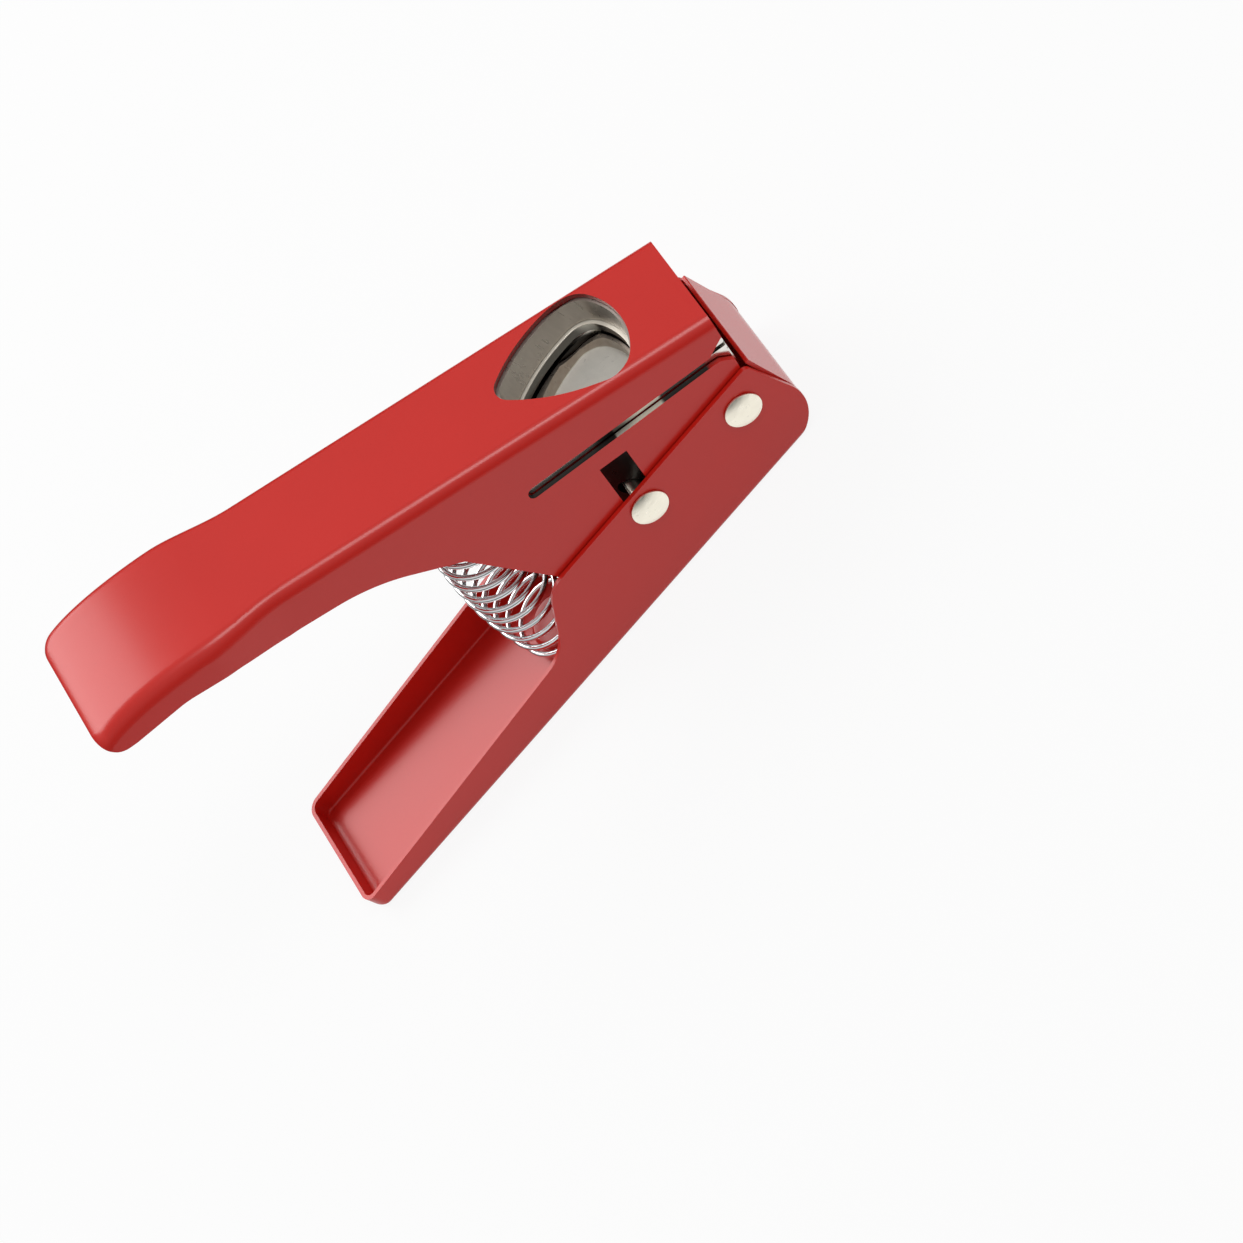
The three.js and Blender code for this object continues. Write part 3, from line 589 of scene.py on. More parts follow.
def lofted(sections):
    """A solid through cross-sections that have the same number of points."""
    n = len(sections[0])
    faces = []
    for s in range(len(sections) - 1):
        for i in range(n):
            a, b = s * n + i, s * n + (i + 1) % n
            faces += [(a, b, b + n), (a, b + n, a + n)]
    last = (len(sections) - 1) * n
    faces += [tuple(range(n)), tuple(range(last, last + n))]
    return mesh_object("loft", [p for section in sections for p in section], faces)


def channel(x, half, open_edge, closed, radius):
    """A folded channel's cross-section: square at its open edge, rounded at its closed one."""
    side = math.copysign(1, closed - open_edge)
    points = [Vector((x, half, open_edge)), Vector((x, -half, open_edge))]
    fold = quarter(FOLD_STEPS)
    for hand, angles in ((-1, fold), (1, fold[::-1])):
        for a in angles:
            aside = half - radius + radius * math.cos(a)
            points.append(Vector((x, hand * aside, closed - side * radius * (1 - math.sin(a)))))
    return points


def plain_mesh(piece, name):
    """The piece's mesh with its modifiers applied, under a name of its own."""
    graph = bpy.context.evaluated_depsgraph_get()
    mesh = bpy.data.meshes.new_from_object(piece.evaluated_get(graph), depsgraph=graph)
    mesh.name = name
    return mesh


def remove(*pieces):
    """Takes helper shapes out of the scene."""
    for piece in pieces:
        bpy.data.objects.remove(piece)


def shaped(body, *steps):
    """The body after a list of (operation, shape) has cut it or been joined to it."""
    for operation, tool in steps:
        cut = body.modifiers.new("shape", "BOOLEAN")
        cut.operation = operation
        cut.object = tool
        cut.solver = "EXACT"
    body.data = plain_mesh(body, body.name)
    body.modifiers.clear()
    remove(*(tool for _, tool in steps))
    made = bmesh.new()
    made.from_mesh(body.data)
    bmesh.ops.remove_doubles(made, verts=made.verts, dist=WELD)
    bmesh.ops.dissolve_degenerate(made, edges=made.edges, dist=WELD)
    bmesh.ops.dissolve_limit(made, angle_limit=FLAT, verts=made.verts, edges=made.edges)
    made.to_mesh(body.data)
    made.free()
    return body


def less(*tools):
    """Cutting steps for shaped."""
    return [("DIFFERENCE", tool) for tool in tools]


# The body, the solids, their slot and the finish of each piece
PIECES = {
    "upper_lever_shell": ("upper_lever", ["upper_housing"], "red_paint", "lever_coat"),
    "lower_lever_shell": ("lower_lever", ["lower_handle"], "red_paint", "satin_powder_coat"),
    "relief_block": ("upper_lever", ["die_block"], "tool_steel", "ground_block"),
    "cutting_plate": ("upper_lever", ["die_plate"], "plated_steel", "bright_plate"),
    "guiding_plate": ("upper_lever", ["guide_plate"], "plated_steel", "bright_plate"),
    "hollow_punch": ("punch_slide", ["punch"], "tool_steel", "ground_punch"),
    "rivets": ("lower_lever", ["pivot_pin", "drive_pin"], "nickel_rivet", "satin_nickel"),
    "spacer_sleeve": ("upper_lever", ["pivot_sleeve"], "zinc_steel", "zinc_plate"),
    **{
        end + "_die_screws": (
            "upper_lever",
            [end + "_die_screw_left", end + "_die_screw_right"],
            "zinc_steel",
            "zinc_plate",
        )
        for end in ("front", "rear")
    },
    **{
        lever + "_spring_boss": (
            lever + "_lever", [lever + "_spring_seat"], "red_paint", "satin_powder_coat"
        )
        for lever in ("lower", "upper")
    },
}


def finished(piece, name, place, rounding=0.0):
    """Rounds the edges, brings the piece to its place in metres, and lets it stand for its
    nodes on its body."""
    body, nodes, slot, finish = PIECES[name]
    if rounding:
        bevel = piece.modifiers.new("edges", "BEVEL")
        bevel.width = rounding
        bevel.segments = 3
        bevel.limit_method = "ANGLE"
        bevel.angle_limit = ROUND_FROM
        bevel.miter_outer = "MITER_ARC"
    mesh = plain_mesh(piece, name)
    mesh.shade_smooth()
    mesh.set_sharp_from_angle(angle=ROUNDED_SMOOTH if rounding else SMOOTH)
    piece.modifiers.clear()
    piece.data = mesh
    weighted = piece.modifiers.new("shading", "WEIGHTED_NORMAL")
    weighted.keep_sharp = True
    weighted.weight = 100
    piece.data = plain_mesh(piece, name)
    piece.modifiers.clear()
    piece.data.transform(METRES @ place)
    piece.data.materials.clear()
    piece.data.materials.append(finish_named(finish))
    piece.name = name
    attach(piece, body)
    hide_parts(*nodes)


# Finishes


class Nodes:
    """A node tree under construction."""

    def __init__(self, tree):
        self.tree = tree

    def make(self, kind, settings=None, inputs=None):
        """Adds a node, makes its settings, and gives its inputs values or links."""
        made = self.tree.nodes.new(kind)
        for key, value in (settings or {}).items():
            setattr(made, key, value)
        for key, value in (inputs or {}).items():
            value = getattr(value, "socket", value)
            if isinstance(value, bpy.types.NodeSocket):
                self.tree.links.new(value, made.inputs[key])
            else:
                made.inputs[key].default_value = value
        return made.outputs


class Value:
    """A socket of a material's nodes that takes part in Python arithmetic."""

    def __init__(self, finish, socket):
        self.finish, self.socket = finish, socket

    def math(self, operation, first, second):
        return self.finish.node("ShaderNodeMath", {"operation": operation}, {0: first, 1: second})

    def __add__(self, other):
        return self.math("ADD", self, other)

    def __mul__(self, other):
        return self.math("MULTIPLY", self, other)

    def __sub__(self, other):
        return self.math("SUBTRACT", self, other)

    def __rsub__(self, other):
        return self.math("SUBTRACT", other, self)

    __radd__, __rmul__ = __add__, __mul__


class Shader(Nodes):
    """A shader tree under construction."""

    def node(self, kind, settings=None, inputs=None, output=0):
        """Adds a node and gives one of its outputs for arithmetic."""
        return Value(self, self.make(kind, settings, inputs)[output])

    def axes(self, vector):
        """The three numbers of a vector."""
        return [self.node("ShaderNodeSeparateXYZ", None, {0: vector}, axis) for axis in range(3)]

    def ray(self, kind):
        """1 for rays of that kind, 0 for others."""
        return self.node("ShaderNodeLightPath", output="Is " + kind + " Ray")

    def spread(self, value, low, high, start=0.0, end=1.0):
        """Brings the range from low to high to the range from start to end, and holds it."""
        return self.node(
            "ShaderNodeMapRange",
            {"clamp": True, "interpolation_type": "SMOOTHSTEP"},
            {0: value, 1: low, 2: high, 3: start, 4: end},
        )


class Finish(Shader):
    """A material under construction."""

    def __init__(self, name, constants):
        self.material = bpy.data.materials.new(name)
        self.material.use_nodes = True
        super().__init__(self.material.node_tree)
        self.surface = self.tree.nodes["Principled BSDF"]
        for key, value in constants.items():
            self.surface.inputs[key].default_value = value

    def mapped(self, vector, **changes):
        """A vector after it is moved, stretched or turned."""
        return self.node("ShaderNodeMapping", None, {"Vector": vector, **changes})

    def place(self, turn=(0, 0, 0), stretch=(1, 1, 1), centre=(0, 0, 0)):
        """The place on the object, in metres, turned and stretched about a centre."""
        where = self.node("ShaderNodeTexCoord", output="Object")
        moved = self.mapped(where, Location=tuple(-c for c in centre))
        return self.mapped(moved, Rotation=turn, Scale=stretch)

    def noise(self, where, scale, detail=2.0, roughness=0.5):
        """Soft noise from 0 to 1; scale is in cells for a metre."""
        settings = {"Vector": where, "Scale": scale, "Detail": detail, "Roughness": roughness}
        return self.node("ShaderNodeTexNoise", None, settings)

    def band(self, value, *stations):
        """1 between the middle two of four stations, in millimetres, and 0 beyond the others."""
        first, second, third, fourth = (station * MM for station in stations)
        return self.spread(value, first, second) * self.spread(value, third, fourth, 1, 0)

    def mix(self, factor, first, second):
        """One colour into another."""
        colours = [(*c, 1) if isinstance(c, tuple) else c for c in (first, second)]
        return self.node(
            "ShaderNodeMix", {"data_type": "RGBA"}, {0: factor, 6: colours[0], 7: colours[1]}, 2
        )

    def ground(self):
        """The colour that the surface has so far."""
        return Value(self, self.surface.inputs["Base Color"].links[0].from_socket)

    def set(self, name, value):
        """Links a varying value to the surface."""
        self.tree.links.new(value.socket, self.surface.inputs[name])

    def bump(self, height, distance, strength=1.0):
        """Raises the surface by a height from 0 to 1 times the distance, in metres."""
        relief = {"Height": height, "Distance": distance, "Strength": strength}
        self.set("Normal", self.node("ShaderNodeBump", None, relief))


def shade(tint, factor):
    """A colour times a factor."""
    return tuple(min(1.0, c * factor) for c in tint)


def card_level():
    """The turn that makes the card slot's frame level."""
    link = settings("linkage")
    return (0, link.card_tilt - link.open_angle, 0)


def powder_coat(name="satin_powder_coat"):
    """Satin red powder coat with a fine pebbled skin and slow clouds of tone."""
    tint = settings("colours").paint
    gloss = {"IOR": 1.2, "Coat Weight": 1.0, "Coat Roughness": 0.26, "Coat IOR": 1.4}
    coat = Finish(name, gloss)
    where = coat.place()
    clouds = coat.noise(where, 28, 2)
    specks = coat.noise(where, 2600, 1)
    pebbles = coat.noise(where, 950, 2)
    ripples = coat.noise(where, 260, 1)
    tone = coat.mix(clouds, shade(tint, 0.93), shade(tint, 1.06))
    coat.set("Base Color", coat.mix(coat.spread(specks, 0.62, 0.8, 0, 0.25), tone, shade(tint, 0.7)))
    coat.set("Roughness", coat.spread(clouds, 0.25, 0.75, 0.4, 0.47) + pebbles * 0.04)
    coat.bump(pebbles * 0.5 + ripples * 0.5, 0.00004, 0.5)
    return coat


def lever_coat():
    """Powder coat with painted shade on the pick window's cut edge, and painted shade with a painted
    highlight streak on the card slots' edges.
    """
    colours, die, s, wear = settings("colours"), sizes("die"), sizes("upper"), sizes("wear")
    coat = powder_coat("lever_coat")
    card = upper_frame() @ card_in_upper()
    along, across, height = coat.axes(coat.place(card_level(), centre=card.translation * MM))
    facing = coat.node("ShaderNodeTexCoord", output="Normal")
    sideways, up = coat.axes(coat.mapped(facing, Rotation=card_level()))[1:]
    # Painted shade: upright cut edges in the pick window darken to about a third of the paint's colour
    side = die.pick_width / 2 + wear.side
    edges = [(reach * MM) ** 2 for reach in (side, side + wear.side_fade)]
    far = die.pick_start + die.pick_length + wear.ends
    near = die.pick_start - wear.ends
    rim = coat.spread(up * up, 0.2, 0.6, 1, 0) * coat.spread(across * across, *edges, 1, 0)
    rim = rim * coat.band(along, -far, wear.ends_fade - far, -wear.ends_fade - near, -near)
    low, rear = -s.slot_rear - wear.lip, -s.slot_length - wear.ends
    # Painted shade: the card slots' upper and lower edges turn nearly black and partly metallic
    slot_shade = coat.spread(sideways * sideways, 0.3, 0.7, 1, 0)
    slot_shade = slot_shade * coat.band(height, low - wear.lip_fade, low, wear.lip - wear.lip_fade, wear.lip)
    front = -wear.slot_front
    slot_shade = slot_shade * coat.band(along, rear - wear.ends_fade, rear, front - wear.front_fade, front)
    # Painted highlight: a cream streak along part of the slot's edge
    start, end = -wear.streak_start, -wear.streak_end
    painted_glint = coat.band(along, end, end + wear.end_fade, start - wear.front_fade, start)
    metal = coat.mix(painted_glint, shade(colours.oxide, 2), shade(colours.ledge, 1))
    tone = coat.mix(rim, coat.ground(), shade(colours.paint, 0.35))
    coat.set("Base Color", coat.mix(slot_shade, tone, metal))
    coat.set("Metallic", slot_shade * 0.6)


def ground_steel(name, tint, rough, stretch, metal, tooth=0.5):
    """Ground steel: fine lines along one direction, broader bands and stains."""
    steel = Finish(name, {"Metallic": metal})
    where = steel.place(card_level(), stretch)
    plain = steel.place()
    lines = steel.noise(where, 1100, 3, 0.6)
    bands = steel.noise(where, 140, 2)
    stains = steel.noise(plain, 110, 3)
    tone = steel.mix(lines, shade(tint, 0.82), shade(tint, 1.12))
    tone = steel.mix(steel.spread(stains, 0.45, 0.75, 0, 0.35), tone, shade(tint, 0.72))
    steel.set("Base Color", tone)
    steel.set("Roughness", rough + lines * 0.16 + bands * 0.08 - 0.12)
    steel.bump(lines * 0.7 + bands * 0.3, 0.00002, tooth)
    return steel


def above(steel, low, blend):
    """1 above a height in the card slot's frame, 0 below it."""
    height = steel.axes(steel.place(card_level()))[2]
    turned_back = Matrix.Rotation(card_level()[1], 4, "Y") @ upper_frame() @ card_in_upper()
    low = (turned_back @ Vector((0, 0, low))).z * MM
    return steel.spread(height, low, low + blend * MM)


def block_steel():
    """Ground steel of the block, with its lines along the cut."""
    tint = shade(settings("colours").steel, 0.92)
    ground_steel("ground_block", tint, 0.3, (1, 1, 0.08), 0.72, 0.35)


def plate_steel():
    """Bright plate with a painted cream highlight along the die's ledge, and painted shade round the
    punch's way.
    """
    colours, die, wear = settings("colours"), sizes("die"), sizes("wear")
    steel = ground_steel("bright_plate", shade(colours.plated, 1), 0.2, (0.06, 1, 1), 1.0, 0.3)
    # Painted highlight: the die plate's top band, where its ledge shows in the window, is cream and
    # less metallic
    ledge = above(steel, die.die_thickness - wear.ledge, wear.blend)
    centre = upper_frame() @ card_in_upper() @ Vector((-die.pick_start - die.pick_length / 2, 0, 0))
    window = (1 / die.pick_length, 1 / die.pick_width, 0)
    spot = steel.place(card_level(), window, centre * MM)
    reach = steel.node("ShaderNodeVectorMath", {"operation": "LENGTH"}, {0: spot}, 1)
    # Painted shade: near-black round the punch's hole in both plates, less dark on the die plate
    clear_of_ring_shade = steel.spread(reach, MM / 2, MM / 2 * SHADE_RING_SHARE)
    clear_of_ring_shade = clear_of_ring_shade + above(steel, -wear.under_die, wear.blend) * 0.25
    tone = steel.mix(steel.spread(clear_of_ring_shade, 0, 1), shade(colours.oxide, 2), steel.ground())
    steel.set("Base Color", steel.mix(ledge, tone, shade(colours.ledge, 1)))
    steel.set("Metallic", 1 - ledge * 0.75)


def punch_steel():
    """Ground steel: a dull light seat in the punch's hollow that is partly a painted reflection,
    painted shade in mottled brown on the hollow's wall, and near-black further down, black oxide with
    painted shade.
    """
    colours, die, wear = settings("colours"), sizes("die"), sizes("wear")
    steel = ground_steel("ground_punch", shade(colours.steel, 1.08), 0.3, (0.5, 1, 0.5), 0.9)
    rim = -sizes("linkage").card_gap - die.rim_drop
    wall = above(steel, rim - die.recess_depth + wear.seat, wear.blend)
    # Black below the cutting end: black oxide, and painted shade of the housing's dark inside
    bright = above(steel, rim - die.flange_depth, wear.oxide_blend)
    mottle = steel.noise(steel.place(), 520, 4, 0.65)
    # Seat: dull finish, lightened as a painted reflection of the lamp overhead
    seat_finish_and_sheen = steel.mix(mottle, shade(colours.seat, 0.98), shade(colours.seat, 1.24))
    # Painted shade: darker brown mottling on the hollow's wall
    wall_shade = steel.mix(mottle, shade(colours.smear, 1), steel.ground())
    tone = steel.mix(bright, shade(colours.oxide, 1), steel.mix(wall, seat_finish_and_sheen, wall_shade))
    steel.set("Base Color", tone)
    steel.set("Metallic", wall * 0.75 + 0.15)


def satin_nickel():
    """Warm nickel of the rivet heads, with faint rings, pits and handling marks."""
    tint = settings("colours").nickel
    nickel = Finish("satin_nickel", {"Metallic": 1.0})
    where = nickel.place()
    marks = nickel.noise(nickel.place(stretch=(1, 0.25, 4), turn=(0, 0.7, 0)), 520, 3, 0.6)
    soft = nickel.noise(where, 300, 2)
    pits = nickel.noise(where, 1500, 1)
    tone = nickel.mix(soft, shade(tint, 0.93), shade(tint, 1.05))
    nickel.set(
        "Base Color", nickel.mix(nickel.spread(pits, 0.66, 0.8, 0, 0.5), tone, shade(tint, 0.62))
    )
    nickel.set("Roughness", nickel.spread(marks, 0.3, 0.75, 0.27, 0.42))
    nickel.bump(marks * 0.4 + soft * 0.6, 0.00003, 0.5)


def bright_wire():
    """Bright drawn wire: mirror-like, with faint smears."""
    tint = settings("colours").chrome
    wire = Finish("bright_wire", {"Metallic": 1.0})
    smears = wire.noise(wire.place(), 420, 3, 0.6)
    wire.set("Base Color", wire.mix(smears, shade(tint, 0.86), shade(tint, 1.08)))
    wire.set("Roughness", wire.spread(smears, 0.3, 0.75, 0.07, 0.2))
    wire.bump(smears, 0.000012, 0.4)


def zinc_plate():
    """Dull zinc with its grains."""
    tint = settings("colours").zinc
    zinc = Finish("zinc_plate", {"Metallic": 0.9})
    where = zinc.place()
    grains = zinc.node("ShaderNodeTexVoronoi", None, {"Vector": where, "Scale": 420.0})
    clouds = zinc.noise(where, 160, 3)
    zinc.set("Base Color", zinc.mix(clouds, shade(tint, 0.84), shade(tint, 1.08)))
    zinc.set("Roughness", zinc.spread(clouds, 0.3, 0.7, 0.36, 0.5) + grains * 0.06)
    zinc.bump(clouds * 0.6 + grains * 0.4, 0.00002, 0.4)


MAKERS = {
    "satin_powder_coat": powder_coat,
    "lever_coat": lever_coat,
    "ground_block": block_steel,
    "ground_punch": punch_steel,
    "bright_plate": plate_steel,
    "satin_nickel": satin_nickel,
    "bright_wire": bright_wire,
    "zinc_plate": zinc_plate,
}


def finish_named(name):
    """The finish of that name, made when it is first asked for."""
    if name not in bpy.data.materials:
        MAKERS[name]()
    return bpy.data.materials[name]


# Geometry Nodes


class Tree(Nodes):
    """A Geometry Nodes tree under construction, with named inputs and a finish."""

    def __init__(self, name, **labels):
        super().__init__(bpy.data.node_groups.new(name, "GeometryNodeTree"))
        face = self.tree.interface
        face.new_socket("Geometry", in_out="OUTPUT", socket_type="NodeSocketGeometry")
        self.sockets = {
            label: face.new_socket(label, in_out="INPUT", socket_type="NodeSocket" + kind)
            for kind, names in {**labels, "Material": ("Finish",)}.items()
            for label in names
        }
        self.given = self.tree.nodes.new("NodeGroupInput")

    def __getitem__(self, label):
        """The group's own input of that name."""
        return self.given.outputs[label]

    def vector(self, operation, first, second):
        """One vector from two, or from a vector and its scale."""
        key = "Scale" if operation == "SCALE" else 1
        return self.make("ShaderNodeVectorMath", {"operation": operation}, {0: first, key: second})[0]

    def close(self, geometry):
        """Ends the tree in plain geometry with its finish."""
        real = self.make("GeometryNodeRealizeInstances", None, {"Geometry": geometry})
        done = {"Geometry": real[0], "Material": self["Finish"]}
        done = self.make("GeometryNodeSetMaterial", None, done)
        self.tree.links.new(done[0], self.tree.nodes.new("NodeGroupOutput").inputs[0])
        return self

    def run(self, values):
        """A plain mesh object that the tree makes from the values of its named inputs."""
        name = self.tree.name
        piece = bpy.data.objects.new(name, bpy.data.meshes.new(name))
        modifier = piece.modifiers.new("nodes", "NODES")
        modifier.node_group = self.tree
        for label, value in values.items():
            modifier[self.sockets[label].identifier] = value
        bpy.context.scene.collection.objects.link(piece)
        piece.data = plain_mesh(piece, name)
        piece.modifiers.clear()
        return piece


def row_tree():
    """Copies of one turned piece in a row."""
    tree = Tree(
        "row of copies", Object=("Copy",), Int=("Count",), Vector=("First", "Step"), Rotation=("Turn",)
    )
    points = {"Count": tree["Count"], "Start Location": tree["First"], "Offset": tree["Step"]}
    line = tree.make("GeometryNodeMeshLine", {"mode": "OFFSET"}, points)
    copy = tree.make("GeometryNodeObjectInfo", None, {"Object": tree["Copy"]})
    copies = {"Points": line[0], "Instance": copy["Geometry"], "Rotation": tree["Turn"]}
    return tree.close(tree.make("GeometryNodeInstanceOnPoints", None, copies)[0])


def coil_tree():
    """A wire coiled round a curve that leaves its foot and reaches its head squarely."""
    tree = Tree(
        "coiled wire",
        Float=("Coils", "Coil radius", "Wire radius", "Turn in"),
        Int=("Steps", "Sides"),
        Vector=("Foot", "Foot handle", "Head handle", "Head"),
    )
    radius = tree["Coil radius"]
    turns = {"Resolution": tree["Steps"], "Rotations": tree["Coils"], "Height": 1.0}
    turns.update({"Start Radius": radius, "End Radius": radius})
    helix = tree.make("GeometryNodeCurveSpiral", None, turns)
    bends = {"Resolution": SPINE_STEPS, "Start": tree["Foot"], "Start Handle": tree["Foot handle"]}
    bends.update({"End Handle": tree["Head handle"], "End": tree["Head"]})
    spine = tree.make("GeometryNodeCurvePrimitiveBezierSegment", {"mode": "POSITION"}, bends)
    along = tree.make("GeometryNodeSplineParameter")["Factor"]
    on_spine = tree.make(
        "GeometryNodeSampleCurve",
        {"mode": "FACTOR", "use_all_curves": True},
        {"Curves": spine[0], "Factor": along},
    )
    left = tree.make("ShaderNodeMath", {"operation": "SUBTRACT"}, {0: 1.0, 1: along})[0]
    near_end = tree.make("ShaderNodeMath", {"operation": "MINIMUM"}, {0: along, 1: left})[0]
    width = tree.make(
        "ShaderNodeMapRange",
        {"interpolation_type": "SMOOTHSTEP"},
        {0: near_end, 1: 0.0, 2: TURN_IN_SHARE, 3: tree["Turn in"], 4: 1.0},
    )[0]
    wide = tree.vector("SCALE", tree.make("GeometryNodeInputPosition")[0], width)
    parts = tree.make("ShaderNodeSeparateXYZ", None, {0: wide})
    across = tree.vector("CROSS_PRODUCT", (0, 1, 0), on_spine["Tangent"])
    out = tree.vector("SCALE", across, parts[0])
    aside = tree.make("ShaderNodeCombineXYZ", None, {1: parts[1]})[0]
    moved = tree.vector("ADD", tree.vector("ADD", out, aside), on_spine["Position"])
    coiled = tree.make("GeometryNodeSetPosition", None, {"Geometry": helix[0], "Position": moved})
    ring = {"Resolution": tree["Sides"], "Radius": tree["Wire radius"]}
    ring = tree.make("GeometryNodeCurvePrimitiveCircle", {"mode": "RADIUS"}, ring)
    wire = {"Curve": coiled[0], "Profile Curve": ring[0], "Fill Caps": True}
    return tree.close(tree.make("GeometryNodeCurveToMesh", None, wire)[0])


# Pieces


def upper_skin(inset):
    """The upper lever's outer skin, drawn in by the inset."""
    s, depth = sizes("upper"), sizes("linkage").pivot_depth
    head = s.head_overhang + s.head_lean + (OVERRUN if inset else 0)
    nose_start = s.length - s.nose_length
    step = (nose_start - s.grip_start) / FLARE_STEPS
    stations = [(-head, 0)] + [(s.grip_start + k * step, 0) for k in range(FLARE_STEPS)]
    for a in quarter(NOSE_STEPS):
        back = nose_start + (s.nose_length - inset) * math.sin(a)
        stations.append((back, s.nose_drop * (1 - math.cos(a))))
    inner = s.nose_corner - inset
    sections = []
    for back, drop in stations:
        t = max(0.0, min(1.0, (back - s.grip_start) / s.grip_blend))
        blend = t * t * (3 - 2 * t)
        radius = s.fold_radius + (s.grip_corner - s.fold_radius) * blend - inset
        past = max(0.0, min(inner, back - (s.length - s.nose_corner)))
        drawn_in = inner - math.sqrt(inner**2 - past**2)
        half = s.width / 2 + s.grip_flare * blend - inset - drawn_in
        sections.append(channel(-back, half, -s.plate_depth, depth - drop - inset, radius))
    return lofted(sections)


class PICK_PUNCH_OT_upper_lever(Operator):
    """Fold the upper lever with its pick window, card slots and drive windows"""

    bl_idname = "pick_punch.upper_lever"
    bl_label = "Upper lever"

    def execute(self, context):
        s, link, die = sizes("upper"), sizes("linkage"), sizes("die")
        depth = link.pivot_depth
        along, above = drive_in_card()
        foot = card_place(along, above)[0] - s.window_width
        lobe = depth + s.lobe_radius
        outline = [
            (-s.head_overhang, depth + OVERRUN, 0),
            (-s.head_overhang, depth, 0),
            (-s.head_overhang - s.head_lean, depth - link.card_depth - s.lobe_radius, 0),
            (-s.lobe_radius, depth - lobe, s.lobe_radius * LOBE_SHARE),
            (foot - s.lobe_radius, depth - lobe, s.lobe_radius / 2),
            (foot, depth - s.plate_depth, s.lobe_radius / 2),
        ]
        outline += [
            (back * s.length, depth - down * s.plate_depth, radius * s.plate_depth)
            for back, down, radius in SKIRT_SHARES
        ]
        outline.append((s.length + OVERRUN, depth + OVERRUN, 0))
        start = card_place(s.mouth_length - s.head_overhang, 0)
        end = card_place(s.slot_length, 0)
        front = -s.head_overhang - s.head_lean
        slot = [
            (front - OVERRUN, start[1] + s.mouth_up * 2, 0),
            (-s.head_overhang, start[1] + s.mouth_up, s.mouth_round),
            (start[0], start[1], s.mouth_round),
            (end[0], end[1], s.slot_rear / 2),
            (end[0], end[1] - s.slot_rear, s.slot_rear / 2),
            (start[0], start[1] - s.slot_mouth, s.mouth_round),
            (start[0] - s.mouth_length / 2, start[1] - s.slot_mouth, s.mouth_round),
            (front, start[1] - s.mouth_down, s.mouth_round),
            (front - OVERRUN, start[1] - s.mouth_down * 2, 0),
        ]
        low, ahead = above - s.window_below, along - s.window_ahead
        window = [
            (*card_place(ahead, low), s.window_corner),
            (*card_place(ahead + s.window_width, low), s.window_corner),
            (*card_place(ahead + s.window_width, low + s.window_height), 0),
            (*card_place(ahead, low + s.window_height), 0),
        ]
        wide = s.width / 2 + s.grip_flare + OVERRUN
        pick = pick_outline(die.pick_start, die.pick_length, die.pick_width, 0)
        pin = sizes("fasteners").pivot_radius + sizes("fasteners").pin_fit
        body = shaped(
            upper_skin(0),
            *less(upper_skin(s.sheet)),
            ("INTERSECT", side_prism(outline, wide, FINE_STEPS)),
            *less(
                flat_prism(pick, depth - OVERRUN, depth + OVERRUN),
                side_prism(slot, wide),
                side_prism(window, wide),
                round_bar(pin, 0, 0, wide),
            ),
        )
        finished(body, "upper_lever_shell", upper_frame(), s.rim_round)
        return {"FINISHED"}


